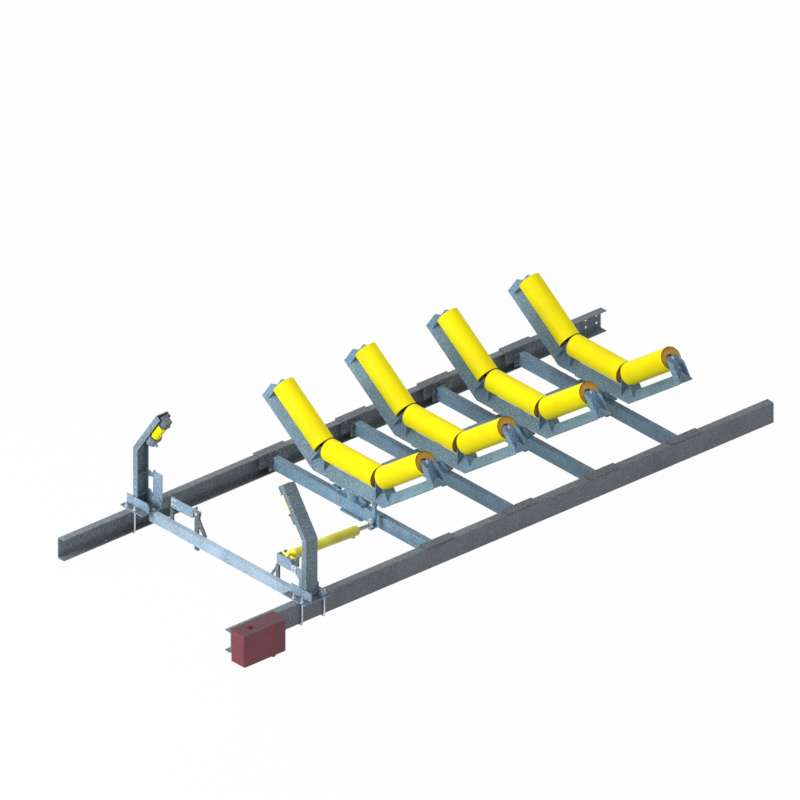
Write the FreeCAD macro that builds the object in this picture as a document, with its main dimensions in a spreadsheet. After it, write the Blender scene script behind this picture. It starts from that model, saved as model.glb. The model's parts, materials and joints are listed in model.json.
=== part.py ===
import FreeCAD, Part
import math
import os
import re
import Sketcher

# A self-aligning troughing idler set for a belt conveyor: two channel stringers, four crossbeams,
# and on each crossbeam a frame of three rollers that swings about an upright pin. A hydraulic
# cylinder, fed by a pump on each sensing arm, swings the first frame, and a link bar the others.
# +X runs along the belt, +Y to the left stringer and +Z up, with Z = 0 under the stringers.

os.makedirs("parts", exist_ok=True)
doc = FreeCAD.newDocument("troughing_idler_set")

IDLERS = 4
LEFT = 1
RIGHT = -1
UP = FreeCAD.Vector(0, 0, 1)
ALONG = FreeCAD.Vector(1, 0, 0)
ACROSS = FreeCAD.Vector(0, 1, 0)

# The driving sizes, in millimetres and degrees. A station is measured from the near end.
DIMENSIONS = (
    ("stringer_length", 4800),
    ("stringer_height", 160),
    ("stringer_flange", 63),
    ("stringer_wall", 8),
    ("stringer_bend", 14),
    ("frame_width", 1750),
    ("splice_hole", 20),
    ("splice_end_gap", 35),
    ("splice_pitch", 95),
    ("splice_rise", 56),
    ("foot_hole", 18),
    ("foot_end_gap", 400),
    ("foot_edge_gap", 35),
    ("crossbeam_height", 100),
    ("crossbeam_flange", 48),
    ("crossbeam_wall", 6),
    ("crossbeam_bend", 10),
    ("crossbeam_drop", 30),
    ("end_plate_width", 112),
    ("end_plate_wall", 8),
    ("saddle_length", 264),
    ("saddle_depth", 95),
    ("saddle_wall", 8),
    ("saddle_bolt_spread", 80),
    ("saddle_bolt_drop", 22),
    ("saddle_bolt", 14),
    ("bolt_clearance", 1),
    ("first_idler", 1858),
    ("idler_pitch", 725),
    ("pivot_plate_length", 240),
    ("pivot_plate_width", 90),
    ("pivot_plate_wall", 12),
    ("pivot_boss", 100),
    ("pivot_rib_wall", 12),
    ("foot_plate_length", 210),
    ("foot_plate_width", 72),
    ("pivot_pin", 50),
    ("pivot_pin_rise", 24),
    ("running_clearance", 0.05),
    ("side_clearance", 0.3),
    ("thrust_ring", 96),
    ("thrust_ring_wall", 14),
    ("turntable_length", 240),
    ("turntable_width", 128),
    ("turntable_wall", 12),
    ("hub_sleeve", 74),
    ("hub_sleeve_rise", 12),
    ("roller_diameter", 159),
    ("roller_length", 500),
    ("roller_wall", 6),
    ("roller_axis_height", 404.5),
    ("roller_meet_gap", 30),
    ("trough_angle", 35),
    ("roller_end_recess", 10),
    ("roller_disc_wall", 5),
    ("roller_hub_length", 22),
    ("roller_hub_wall", 6),
    ("bearing_diameter", 62),
    ("bearing_width", 17),
    ("shaft_diameter", 25),
    ("shaft_flat", 18),
    ("shaft_end", 4),
    ("seal_width", 5),
    ("angle_leg", 90),
    ("angle_wall", 8),
    ("angle_drop", 106),
    ("frame_bend_gap", 80),
    ("bracket_gap", 6),
    ("bracket_wall", 8),
    ("bracket_half_width", 50),
    ("bracket_rise", 19),
    ("bracket_flange", 42),
    ("bracket_depth", 164),
    ("bracket_hole", 12),
    ("inner_bracket_half_width", 43),
    ("inner_bracket_foot", 152),
    ("slot_clearance", 0.2),
    ("weld_depth", 2),
    ("link_offset", 155),
    ("link_pin", 24),
    ("link_height", 168),
    ("link_bar_width", 60),
    ("link_bar_wall", 12),
    ("link_bar_end", 36),
    ("link_boss", 40),
    ("link_collar", 34),
    ("link_collar_wall", 6),
    ("link_ring_wall", 4),
    ("lug_plate_length", 50),
    ("lug_plate_width", 134),
    ("lug_plate_wall", 8),
    ("arm_station", 715),
    ("arm_width", 100),
    ("arm_depth", 42),
    ("arm_wall", 6),
    ("arm_inset", 3),
    ("arm_knee", 436),
    ("arm_upper", 405),
    ("arm_angle", 35),
    ("base_length", 230),
    ("base_width", 222),
    ("base_wall", 8),
    ("base_overhang", 54),
    ("base_lip", 66),
    ("hook_bolt", 12),
    ("hook_spread", 98),
    ("hook_gap", 10),
    ("hook_bend", 12),
    ("hook_tip", 26),
    ("hook_top", 30),
    ("sensor_centre", 280),
    ("sensor_offset", 62),
    ("sensor_diameter", 68),
    ("sensor_length", 129),
    ("sensor_shaft", 20),
    ("yoke_gap", 3),
    ("yoke_wall", 8),
    ("yoke_width", 76),
    ("pump_diameter", 80),
    ("pump_length", 72),
    ("pump_flange", 94),
    ("top_bearing_height", 54),
    ("top_bearing_width", 58),
    ("knob_diameter", 26),
    ("knob_length", 16),
    ("guard_width", 90),
    ("guard_height", 250),
    ("guard_wall", 6),
    ("guard_inset", 4),
    ("guard_web_height", 96),
    ("guard_slope", 30),
    ("guard_foot", 80),
    ("guard_fold", 18),
    ("guard_lap", 12),
    ("guard_tie", 44),
    ("tie_height", 75),
    ("tie_flange", 40),
    ("tie_wall", 6),
    ("tie_lap", 35),
    ("tie_offset", 21),
    ("tie_bolt", 12),
    ("tie_bolt_inset", 15),
    ("cradle_inset", 323),
    ("cradle_width", 132),
    ("cradle_front", 744),
    ("cradle_length", 84),
    ("cradle_floor", 252),
    ("cradle_depth", 80),
    ("cradle_wall", 8),
    ("wing_slope", 20),
    ("wing_rise", 52),
    ("wing_foot", 32),
    ("trunnion", 22),
    ("trunnion_gap", 1.5),
    ("post_wall", 14),
    ("post_width", 30),
    ("post_head", 46),
    ("post_gap", 50),
    ("post_rise", 52),
    ("post_low", 24),
    ("brace_low", 144),
    ("brace_drop", 14),
    ("brace_reach", 44),
    ("left_shelf_length", 220),
    ("left_shelf_inset", 295),
    ("left_shelf_height", 76),
    ("left_shelf_floor", 240),
    ("left_return", 44),
    ("left_corner", 16),
    ("left_ear", 30),
    ("cap_pin_station", 790),
    ("cap_pin_height", 319.5),
    ("rod_pin_station", 1756),
    ("rod_pin_offset", 281),
    ("rod_pin_height", 91),
    ("rod_pin", 20),
    ("rod_pin_stub", 40),
    ("rod_spacer", 28),
    ("rod_spacer_wall", 8),
    ("rod_nut_height", 24),
    ("barrel_diameter", 70),
    ("barrel_start", 46),
    ("barrel_end", 838),
    ("barrel_rib", 78),
    ("barrel_rib_width", 8),
    ("barrel_rib_pitch", 19),
    ("rod_diameter", 28),
    ("piston_diameter", 60),
    ("piston_back", 660),
    ("piston_length", 40),
    ("gland_length", 38),
    ("cap_lug", 52),
    ("cap_lug_width", 30),
    ("eye_diameter", 42),
    ("eye_height", 24),
    ("eye_gap", 1.1),
    ("eye_float", 1.2),
    ("lever_width", 34),
    ("lever_wall", 14),
    ("lever_gap", 24),
    ("tab_wall", 12),
    ("tank_length", 370),
    ("tank_depth", 133),
    ("tank_height", 236),
    ("tank_hang", 55),
    ("tank_wall", 4),
    ("tank_corner", 14),
    ("lid_wall", 5),
    ("lid_lip", 6),
    ("cap_diameter", 34),
    ("cap_height", 12),
    ("plug_diameter", 22),
    ("plug_height", 9),
)

# Sizes that follow from the driving ones.
DERIVED = (
    ("roller_meet", "roller_length / 2 + roller_meet_gap"),
    ("frame_bend", "roller_length / 2 + frame_bend_gap"),
    ("tie_length", "frame_width + 2 * (base_overhang - base_width + tie_lap)"),
    ("cradle_centre", "frame_width / 2 - cradle_inset"),
    ("left_shelf_start", "frame_width / 2 - left_shelf_inset"),
)

sheet = doc.addObject("Spreadsheet::Sheet", "Sizes")
rows = DIMENSIONS + tuple((name, f"={text}") for name, text in DERIVED)
for row, (name, value) in enumerate(rows, start=1):
    sheet.set(f"A{row}", name)
    sheet.set(f"B{row}", str(value))
    sheet.setAlias(f"B{row}", name)
doc.recompute()
NAMES = {name for name, value in rows}


def size(name):
    """A driving size, read from the sheet."""
    return float(sheet.get(name))


def formula(text):
    """The text with each size's name pointed at the sheet."""
    return re.sub(r"[a-z_]+", lambda word: f"Sizes.{word[0]}" if word[0] in NAMES else word[0], text)


def bind(thing, **formulas):
    """Ties properties to formulas of the sheet's sizes; a double underscore stands for a dot."""
    for path, text in formulas.items():
        thing.setExpression(path.replace("__", "."), formula(text))


# Places that several pieces share, as formulas.
NEAR_END = "(-stringer_length / 2)"
WEB = "(frame_width / 2)"
FLANGE_TIP = "(frame_width / 2 - stringer_flange)"
BEAM_END = "(frame_width / 2 - stringer_flange - saddle_wall)"
BEAM_TOP = "(crossbeam_drop + crossbeam_height)"
FIRST_IDLER = f"({NEAR_END} + first_idler)"
ARM_X = f"({NEAR_END} + arm_station)"
BASE_TOP = "(stringer_height + base_wall)"
ANGLE_BOTTOM = "(roller_axis_height - angle_drop - angle_leg * cos(45))"
TURNTABLE_BOTTOM = f"({ANGLE_BOTTOM} - turntable_wall)"
BOSS_TOP = f"({TURNTABLE_BOTTOM} - side_clearance - thrust_ring_wall)"
ROLLER_BORE = "(bearing_diameter / 2 + running_clearance)"
BRACKET_FACE = "(roller_length / 2 + bracket_gap)"
SHAFT_HALF = f"({BRACKET_FACE} + bracket_wall + shaft_end)"
ARM_FACE = "(frame_width / 2 - arm_inset)"
TIE_X = f"({ARM_X} - tie_offset)"
CRADLE_X = f"({NEAR_END} + cradle_front)"

pieces = []
masters = []


def new_body(label, exported=True):
    """An empty body, listed as a piece of the set or kept as a master to copy."""
    body = doc.addObject("PartDesign::Body", label)
    body.Label = label
    (pieces if exported else masters).append(body)
    return body


def sketch_on(body, role, height="0", rise="0", slide="0", turn=None, axis=ALONG):
    """A sketch on one of the body's own planes, moved in its own axes and turned about one of them."""
    sketch = body.newObject("Sketcher::SketchObject", f"{body.Name}_sketch")
    plane = next(item for item in body.Origin.OriginFeatures if item.Role == role)
    sketch.AttachmentSupport = (plane, [""])
    sketch.MapMode = "FlatFace"
    if turn is not None:
        sketch.AttachmentOffset = FreeCAD.Placement(FreeCAD.Vector(), FreeCAD.Rotation(axis, 1))
        bind(sketch, AttachmentOffset__Rotation__Angle=turn)
    bind(sketch, AttachmentOffset__Base__x=slide, AttachmentOffset__Base__y=rise,
         AttachmentOffset__Base__z=height)
    return sketch


def locate(sketch, shape, point, x, y):
    """Fixes a point of the sketch at formulas from the sketch's origin."""
    for kind, text in (("DistanceX", x), ("DistanceY", y)):
        number = sketch.addConstraint(Sketcher.Constraint(kind, -1, 1, shape, point, 1.0))
        sketch.setExpression(f"Constraints[{number}]", formula(text))


def outline(sketch, corners, closed=True):
    """Straight lines through corners, each a pair of formulas."""
    count = len(corners)
    first = sketch.GeometryCount
    turn = 2 * math.pi / count
    ring = [FreeCAD.Vector(math.cos(turn * i), math.sin(turn * i), 0) for i in range(count)]
    lines = count if closed else count - 1
    for i in range(lines):
        sketch.addGeometry(Part.LineSegment(ring[i], ring[(i + 1) % count]))
    for i in range(lines if closed else lines - 1):
        sketch.addConstraint(Sketcher.Constraint("Coincident", first + i, 2, first + (i + 1) % lines, 1))
    for i in range(lines):
        locate(sketch, first + i, 1, *corners[i])
    if not closed:
        locate(sketch, first + lines - 1, 2, *corners[-1])
    return sketch


def box_outline(sketch, low, high):
    """A rectangle between two corners of formulas."""
    return outline(sketch, [low, (high[0], low[1]), high, (low[0], high[1])])


def round_hole(sketch, x, y, radius):
    """A circle with its centre and radius tied to formulas."""
    number = sketch.addGeometry(Part.Circle(FreeCAD.Vector(), UP, 1))
    locate(sketch, number, 3, x, y)
    radius_number = sketch.addConstraint(Sketcher.Constraint("Radius", number, 1.0))
    sketch.setExpression(f"Constraints[{radius_number}]", formula(radius))
    return sketch


def pad(body, sketch, length, centred=False, reverse=False):
    """Grows a sketch into a solid."""
    feature = body.newObject("PartDesign::Pad", f"{body.Name}_pad")
    feature.Profile = sketch
    feature.Midplane = centred
    feature.Reversed = reverse
    bind(feature, Length=length)
    return feature


def pocket(body, sketch, length, centred=False, reverse=False):
    """Cuts a sketch out of the body, and makes sure that it cut something."""
    doc.recompute()
    before = body.Shape.Volume
    feature = body.newObject("PartDesign::Pocket", f"{body.Name}_pocket")
    feature.Profile = sketch
    feature.Midplane = centred
    feature.Reversed = reverse
    bind(feature, Length=length)
    doc.recompute()
    if body.Shape.Volume >= before:
        raise RuntimeError(f"{body.Label}: a pocket cut nothing")
    return feature


def turned(body, corners, role="YZ_Plane", turn=None):
    """A turned solid about the sketch's level axis, from corners given as (along it, radius)."""
    sketch = outline(sketch_on(body, role, turn=turn, axis=UP), corners)
    feature = body.newObject("PartDesign::Revolution", f"{body.Name}_turned")
    feature.Profile = sketch
    feature.ReferenceAxis = (sketch, ["H_Axis"])
    feature.Angle = 360
    return feature


def ring_about_z(body, inner, outer, low, high):
    """A ring or, with inner None, a disc about the Z axis between two heights."""
    sketch = round_hole(sketch_on(body, "XY_Plane", low), "0", "0", outer)
    if inner is not None:
        round_hole(sketch, "0", "0", inner)
    return pad(body, sketch, f"({high}) - ({low})")


def whole_body(body, kind):
    """A pattern or mirror feature that repeats the whole body so far."""
    doc.recompute()
    feature = body.newObject(f"PartDesign::{kind}", f"{body.Name}_{kind}")
    feature.TransformMode = "Whole shape"
    return feature


def mirror_across(body):
    """Adds the body's mirror image across the XZ plane."""
    feature = whole_body(body, "Mirrored")
    plane = next(item for item in body.Origin.OriginFeatures if item.Role == "XZ_Plane")
    feature.MirrorPlane = (plane, [""])
    body.Tip = feature
    doc.recompute()


def repeat_per_idler(body):
    """Repeats the body at every idler."""
    feature = whole_body(body, "LinearPattern")
    axis = next(item for item in body.Origin.OriginFeatures if item.Role == "X_Axis")
    feature.Direction = (axis, [""])
    feature.Mode = "Spacing"
    feature.Occurrences = IDLERS
    bind(feature, Offset="idler_pitch")
    body.Tip = feature
    doc.recompute()


def round_edges(body, radius, wanted):
    """Fillets the body's edges that the test picks."""
    doc.recompute()
    base = body.Tip
    names = [f"Edge{i}" for i, edge in enumerate(base.Shape.Edges, start=1) if wanted(edge)]
    feature = body.newObject("PartDesign::Fillet", f"{body.Name}_fillet")
    feature.Base = (base, names)
    bind(feature, Radius=radius)
    body.Tip = feature
    return feature


def runs(edge, direction):
    """Whether a straight edge runs along a direction."""
    if len(edge.Vertexes) != 2 or edge.Curve.TypeId != "Part::GeomLine":
        return False
    return abs(abs(edge.Curve.Direction.dot(direction)) - 1) < 1e-6


def near(value, target):
    """Whether two lengths are the same within a hundredth of a millimetre."""
    return abs(value - target) < 0.01


def cluster(label, master, places, exported=True):
    """Copies of a master piece at the given places, as separate solids of one node."""
    doc.recompute()
    copies = []
    for place in places:
        copy = master.Shape.copy()
        copy.Placement = place.multiply(copy.Placement)
        copies.extend(copy.Solids)
    feature = doc.addObject("Part::Feature", label)
    feature.Label = label
    feature.Shape = Part.makeCompound(copies)
    if exported:
        pieces.append(feature)
    return feature


def join(label, clusters):
    """Puts the solids of several clusters into one node."""
    feature = doc.addObject("Part::Feature", label)
    feature.Label = label
    feature.Shape = Part.makeCompound([solid for item in clusters for solid in item.Shape.Solids])
    pieces.append(feature)
    return feature


def place_at(x, y, z, axis=UP, angle=0):
    """A placement at a point, turned about an axis by degrees."""
    return FreeCAD.Placement(FreeCAD.Vector(x, y, z), FreeCAD.Rotation(axis, angle))


# Places in numbers, for clusters.
near_end = -size("stringer_length") / 2
web = size("frame_width") / 2
flange_tip = web - size("stringer_flange")
arm_x = near_end + size("arm_station")
idler_x = [near_end + size("first_idler") + size("idler_pitch") * i for i in range(IDLERS)]
base_top = size("stringer_height") + size("base_wall")


def channel_corners(web_y, flange, wall, low, high, side):
    """The outline of a channel on the YZ plane, its web at web_y and its flanges towards the middle."""
    tip = f"{side} * ({web_y} - {flange})"
    back = f"{side} * {web_y}"
    inner = f"{side} * ({web_y} - {wall})"
    return [(back, low), (back, high), (tip, high), (tip, f"{high} - {wall}"), (inner, f"{high} - {wall}"),
            (inner, f"{low} + {wall}"), (tip, f"{low} + {wall}"), (tip, low)]


def stringer(side, label):
    """A bent channel, open to the middle, with foot holes and, on the left, splice holes."""
    body = new_body(label)
    corners = channel_corners(WEB, "stringer_flange", "stringer_wall", "0", "stringer_height", side)
    pad(body, outline(sketch_on(body, "YZ_Plane"), corners), "stringer_length", centred=True)
    height = size("stringer_height")
    wall = size("stringer_wall")
    at_back = [(side * web, 0), (side * web, height)]
    inside = [(side * (web - wall), wall), (side * (web - wall), height - wall)]

    def along_at(spots):
        return lambda edge: runs(edge, ALONG) and any(
            near(edge.Vertexes[0].Y, y) and near(edge.Vertexes[0].Z, z) for y, z in spots)

    round_edges(body, "stringer_bend", along_at(at_back))
    round_edges(body, "stringer_bend - stringer_wall", along_at(inside))
    feet = sketch_on(body, "XY_Plane")
    for end in (1, -1):
        round_hole(feet, f"{end} * (stringer_length / 2 - foot_end_gap)",
                   f"{side} * ({WEB} - foot_edge_gap)", "foot_hole / 2")
    pocket(body, feet, "stringer_wall * 4", centred=True)
    if side == LEFT:
        splice = sketch_on(body, "XZ_Plane", f"-{WEB}")
        for column in ("splice_end_gap", "(splice_end_gap + splice_pitch)"):
            for row in (1, -1):
                round_hole(splice, f"stringer_length / 2 - {column}",
                           f"stringer_height / 2 + {row} * splice_rise / 2", "splice_hole / 2")
        pocket(body, splice, "stringer_wall * 4", centred=True)
    return body


def crossbeam(number):
    """A channel on edge with a drilled plate at each end and a stiffening plate under the pivot."""
    body = new_body(f"crossbeam_{number}")
    front = "(-crossbeam_flange / 2)"
    back = "(crossbeam_flange / 2)"
    low = "crossbeam_drop"
    wall = "crossbeam_wall"
    section = [(front, low), (front, BEAM_TOP), (back, BEAM_TOP), (back, f"{BEAM_TOP} - {wall}"),
               (f"{front} + {wall}", f"{BEAM_TOP} - {wall}"), (f"{front} + {wall}", f"{low} + {wall}"),
               (back, f"{low} + {wall}"), (back, low)]
    pad(body, outline(sketch_on(body, "XZ_Plane"), section), f"{BEAM_END} - end_plate_wall", reverse=True)
    plate = sketch_on(body, "XZ_Plane", f"-({BEAM_END} - end_plate_wall)")
    box_outline(plate, ("-end_plate_width / 2", low), ("end_plate_width / 2", BEAM_TOP))
    for end in (1, -1):
        round_hole(plate, f"{end} * saddle_bolt_spread / 2", f"{BEAM_TOP} - saddle_bolt_drop",
                   "saddle_bolt / 2 + bolt_clearance")
    pad(body, plate, "end_plate_wall", reverse=True)
    corner_x = -size("crossbeam_flange") / 2
    round_edges(body, "crossbeam_bend",
                lambda edge: runs(edge, ACROSS) and near(edge.Vertexes[0].X, corner_x)
                and edge.Length > size("frame_width") / 4)
    mirror_across(body)
    foot = box_outline(sketch_on(body, "XY_Plane", low), ("-foot_plate_width / 2", "-foot_plate_length / 2"),
                       ("foot_plate_width / 2", "foot_plate_length / 2"))
    pad(body, foot, "pivot_plate_wall", reverse=True)
    bind(body, Placement__Base__x=f"{FIRST_IDLER} + idler_pitch * {number - 1}")
    return body


def saddles():
    """Bent plates that lie over both stringers and carry the crossbeams' ends."""
    body = new_body("crossbeam_saddles")
    top = "(stringer_height + saddle_wall)"
    foot = f"({top} - saddle_depth)"
    corners = [(WEB, "stringer_height"), (WEB, top), (BEAM_END, top), (BEAM_END, foot), (FLANGE_TIP, foot),
               (FLANGE_TIP, "stringer_height")]
    pad(body, outline(sketch_on(body, "YZ_Plane"), corners), "saddle_length", centred=True)
    holes = sketch_on(body, "XZ_Plane", f"-{FLANGE_TIP}")
    for end in (1, -1):
        round_hole(holes, f"{end} * saddle_bolt_spread / 2", f"{BEAM_TOP} - saddle_bolt_drop",
                   "saddle_bolt / 2 + bolt_clearance")
    pocket(body, holes, "saddle_wall * 2", centred=True)
    mirror_across(body)
    repeat_per_idler(body)
    bind(body, Placement__Base__x=FIRST_IDLER)
    return body


def hexagon(sketch, across):
    """A hexagon about the sketch's origin, from its width across flats."""
    corner = f"{across} / 2 / cos(30)"
    return outline(sketch, [(f"{corner} * cos({60 * i})", f"{corner} * sin({60 * i})") for i in range(6)])


def bolt_master(label, diameter, grip):
    """A hexagon bolt and its nut: the head's underside at Z = 0 and the nut below the grip."""
    body = new_body(label, exported=False)
    across = f"({diameter} * 1.6)"
    pad(body, hexagon(sketch_on(body, "XY_Plane"), across), f"{diameter} * 0.65")
    reach = f"{grip} + {diameter} * 1.1"
    pad(body, round_hole(sketch_on(body, "XY_Plane"), "0", "0", f"{diameter} / 2"), reach, reverse=True)
    nut = new_body(f"{label}_nut", exported=False)
    section = hexagon(sketch_on(nut, "XY_Plane", f"-({grip})"), across)
    round_hole(section, "0", "0", f"{diameter} / 2")
    pad(nut, section, f"{diameter} * 0.8", reverse=True)
    doc.recompute()
    both = doc.addObject("Part::Feature", f"{label}_pair")
    both.Shape = Part.makeCompound([body.Shape.Solids[0], nut.Shape.Solids[0]])
    return both


def pivot_bases():
    """Ribbed bosses with upright pins, welded on the crossbeams."""
    body = new_body("pivot_bases")
    half_length = "pivot_plate_length / 2"
    plate_top = f"({BEAM_TOP} + pivot_plate_wall)"
    plate = box_outline(sketch_on(body, "XY_Plane", BEAM_TOP), ("-pivot_plate_width / 2", f"-{half_length}"),
                        ("pivot_plate_width / 2", half_length))
    pad(body, plate, "pivot_plate_wall")
    ring_about_z(body, None, "pivot_boss / 2", plate_top, BOSS_TOP)
    toe = f"{plate_top} + pivot_rib_wall"
    peak = f"{BOSS_TOP} - pivot_rib_wall"
    rib = outline(sketch_on(body, "YZ_Plane"), [
        (f"-{half_length}", plate_top), (half_length, plate_top), (half_length, toe),
        ("pivot_boss / 2", peak), ("-pivot_boss / 2", peak), (f"-{half_length}", toe)])
    pad(body, rib, "pivot_rib_wall", centred=True)
    ring_about_z(body, None, "pivot_pin / 2", plate_top, f"{ANGLE_BOTTOM} + pivot_pin_rise")
    repeat_per_idler(body)
    bind(body, Placement__Base__x=FIRST_IDLER)
    return body


def thrust_rings():
    """Thrust bearings between the bosses and the swinging frames."""
    body = new_body("thrust_bearings")
    ring_about_z(body, "pivot_pin / 2 + running_clearance", "thrust_ring / 2", BOSS_TOP,
                 f"{BOSS_TOP} + thrust_ring_wall")
    repeat_per_idler(body)
    bind(body, Placement__Base__x=FIRST_IDLER)
    return body




# How far the bent angle's apex lies under a wing roller's axis, and where it bends along that axis.
WING_DROP = "(angle_drop * cos(trough_angle) + (frame_bend - roller_meet) * sin(trough_angle))"
BEND_ALONG = "((frame_bend - roller_meet) * cos(trough_angle) - angle_drop * sin(trough_angle))"
WING_END = f"(roller_meet + {BRACKET_FACE} + bracket_wall + bracket_flange - weld_depth)"
APEX = "(roller_axis_height - angle_drop)"
SLOT = "(shaft_flat / 2 + slot_clearance)"


def wing_plane(body, along):
    """A sketch plane square to the left wing's roller axis, at a distance past where the axes meet."""
    return sketch_on(body, "XZ_Plane", f"-(roller_meet + ({along}) * cos(trough_angle))",
                     f"roller_axis_height + ({along}) * sin(trough_angle)", turn="trough_angle")


def saddle_plate(sketch, half, foot_half, drop, top, shoulder):
    """A bracket's outline about the roller's axis: a slot open at the top and a notch for the angle."""
    sunk = f"({drop} + weld_depth * 2)"
    lower = "(bracket_wall * 3)"
    right = [(SLOT, "-shaft_diameter / 2"), (SLOT, top), (shoulder, top), (half, f"{top} - {lower}"),
             (foot_half, f"-({sunk} + {foot_half})")]
    left = [(f"-({x})", y) for x, y in reversed(right)]
    return outline(sketch, right + [("0", f"-{sunk}")] + left)


def bent_angle(body):
    """Half of the frame's angle, apex up, swept along the middle and up one wing."""
    profile = sketch_on(body, "XZ_Plane")
    leg = "(angle_leg * cos(45))"
    wall = "(angle_wall * cos(45))"
    outline(profile, [("0", APEX), (leg, f"{APEX} - {leg}"), (f"{leg} - {wall}", f"{APEX} - {leg} - {wall}"),
                      ("0", f"{APEX} - 2 * {wall}"), (f"{wall} - {leg}", f"{APEX} - {leg} - {wall}"),
                      (f"-{leg}", f"{APEX} - {leg}")])
    path = sketch_on(body, "YZ_Plane")
    run = f"({WING_END} - {BEND_ALONG})"
    outline(path, [("0", APEX), ("frame_bend", APEX),
                   (f"frame_bend + {run} * cos(trough_angle)", f"{APEX} + {run} * sin(trough_angle)")],
            closed=False)
    sweep = body.newObject("PartDesign::AdditivePipe", f"{body.Name}_sweep")
    sweep.Profile = profile
    sweep.Spine = path
    sweep.Transition = "Right corner"
    return sweep


def idler_frame(number):
    """The swinging frame: a bent angle with brackets for six shaft ends, a turntable and a link lug."""
    body = new_body(f"idler_frame_{number}")
    bent_angle(body)
    inner_half = "inner_bracket_half_width"
    inner_top = "(bracket_rise - weld_depth)"
    inner_foot = "(inner_bracket_foot - angle_drop)"
    middle = sketch_on(body, "XZ_Plane", f"-{BRACKET_FACE}", "roller_axis_height")
    saddle_plate(middle, inner_half, inner_foot, "angle_drop", inner_top, "(inner_bracket_half_width * 0.6)")
    pad(body, middle, "bracket_wall", reverse=True)
    inner = wing_plane(body, f"roller_meet - {BRACKET_FACE} - bracket_wall")
    saddle_plate(inner, inner_half, inner_foot, WING_DROP, inner_top, "(inner_bracket_half_width * 0.6)")
    pad(body, inner, "bracket_wall", reverse=True)
    half = "bracket_half_width"
    outer = wing_plane(body, f"roller_meet + {BRACKET_FACE}")
    saddle_plate(outer, half, half, WING_DROP, "bracket_rise", "(bracket_half_width * 0.62)")
    for side in (1, -1):
        round_hole(outer, f"{side} * bracket_half_width * 0.5", "-bracket_depth * 0.45", "bracket_hole / 2")
    pad(body, outer, "bracket_wall", reverse=True)
    for side in (1, -1):
        reach = f"(roller_meet + {BRACKET_FACE})"
        foot = f"-({WING_DROP} + {half} + weld_depth)"
        cheek = sketch_on(body, "YZ_Plane", f"{side} * ({half} - bracket_wall / 2)", "roller_axis_height",
                          "roller_meet", turn="trough_angle", axis=UP)
        outline(cheek, [(reach, foot), (f"{reach} + bracket_wall + bracket_flange", foot),
                        (f"{reach} + bracket_wall + bracket_flange", "-bracket_depth * 0.3"),
                        (f"{reach} + bracket_wall * 2", "bracket_rise - bracket_wall * 3"),
                        (reach, "bracket_rise - bracket_wall * 3")])
        pad(body, cheek, "bracket_wall", centred=True)
    mirror_across(body)
    table = box_outline(sketch_on(body, "XY_Plane", TURNTABLE_BOTTOM),
                        ("-turntable_width / 2", "-turntable_length / 2"),
                        ("turntable_width / 2", "turntable_length / 2"))
    pad(body, table, "turntable_wall")
    ring_about_z(body, None, "hub_sleeve / 2", TURNTABLE_BOTTOM, f"{ANGLE_BOTTOM} + hub_sleeve_rise")
    hub = round_hole(sketch_on(body, "XY_Plane", f"{TURNTABLE_BOTTOM} - 1"), "0", "0",
                     "pivot_pin / 2 + running_clearance")
    pocket(body, hub, "turntable_wall + hub_sleeve_rise + 2", reverse=True)
    lug_low = f"({ANGLE_BOTTOM} - lug_plate_wall)"
    lug = box_outline(sketch_on(body, "XY_Plane", lug_low),
                      ("-lug_plate_width / 2", "link_offset - lug_plate_length / 2"),
                      ("lug_plate_width / 2", "link_offset + lug_plate_length / 2"))
    pad(body, lug, "lug_plate_wall")
    boss_low = "(link_height + link_bar_wall + link_collar_wall + side_clearance)"
    boss = round_hole(sketch_on(body, "XY_Plane", boss_low), "0", "link_offset", "link_boss / 2")
    pad(body, boss, f"{lug_low} - {boss_low}")
    bore = round_hole(sketch_on(body, "XY_Plane", f"{boss_low} - 1"), "0", "link_offset",
                      "link_pin / 2 + running_clearance")
    pocket(body, bore, f"{ANGLE_BOTTOM} - {boss_low} + 2", reverse=True)
    if number == 1:
        steering_lever(body)
    bind(body, Placement__Base__x=f"{FIRST_IDLER} + idler_pitch * {number - 1}")
    return body


PIN_X = "(rod_pin_station - first_idler)"
TAB_TOP = "(rod_pin_height - eye_height / 2 - eye_float)"


def steering_lever(body):
    """The lever welded under the first frame, with a drilled tab for the cylinder rod's eye."""
    back = f"({PIN_X} + lever_gap + lever_wall)"
    front = f"({PIN_X} + lever_gap)"
    tab_low = f"({TAB_TOP} - tab_wall)"
    top = f"({ANGLE_BOTTOM} + lever_wall / 2)"
    side_view = sketch_on(body, "XZ_Plane", "rod_pin_offset")
    inside = "-angle_leg / 2"
    outline(side_view, [(front, tab_low), (back, tab_low), (back, f"{top} - lever_wall"),
                        (inside, f"{top} - lever_wall"), (inside, top), (front, top)])
    pad(body, side_view, "lever_width", centred=True)
    tab = box_outline(sketch_on(body, "XY_Plane", tab_low), (PIN_X, "-rod_pin_offset - eye_diameter / 2"),
                      (back, "-rod_pin_offset + eye_diameter / 2"))
    pad(body, tab, "tab_wall")
    round_end = round_hole(sketch_on(body, "XY_Plane", tab_low), PIN_X, "-rod_pin_offset", "eye_diameter / 2")
    pad(body, round_end, "tab_wall")
    hole = round_hole(sketch_on(body, "XY_Plane", f"{tab_low} - 1"), PIN_X, "-rod_pin_offset", "rod_pin / 2")
    pocket(body, hole, "tab_wall + 2", reverse=True)


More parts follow.
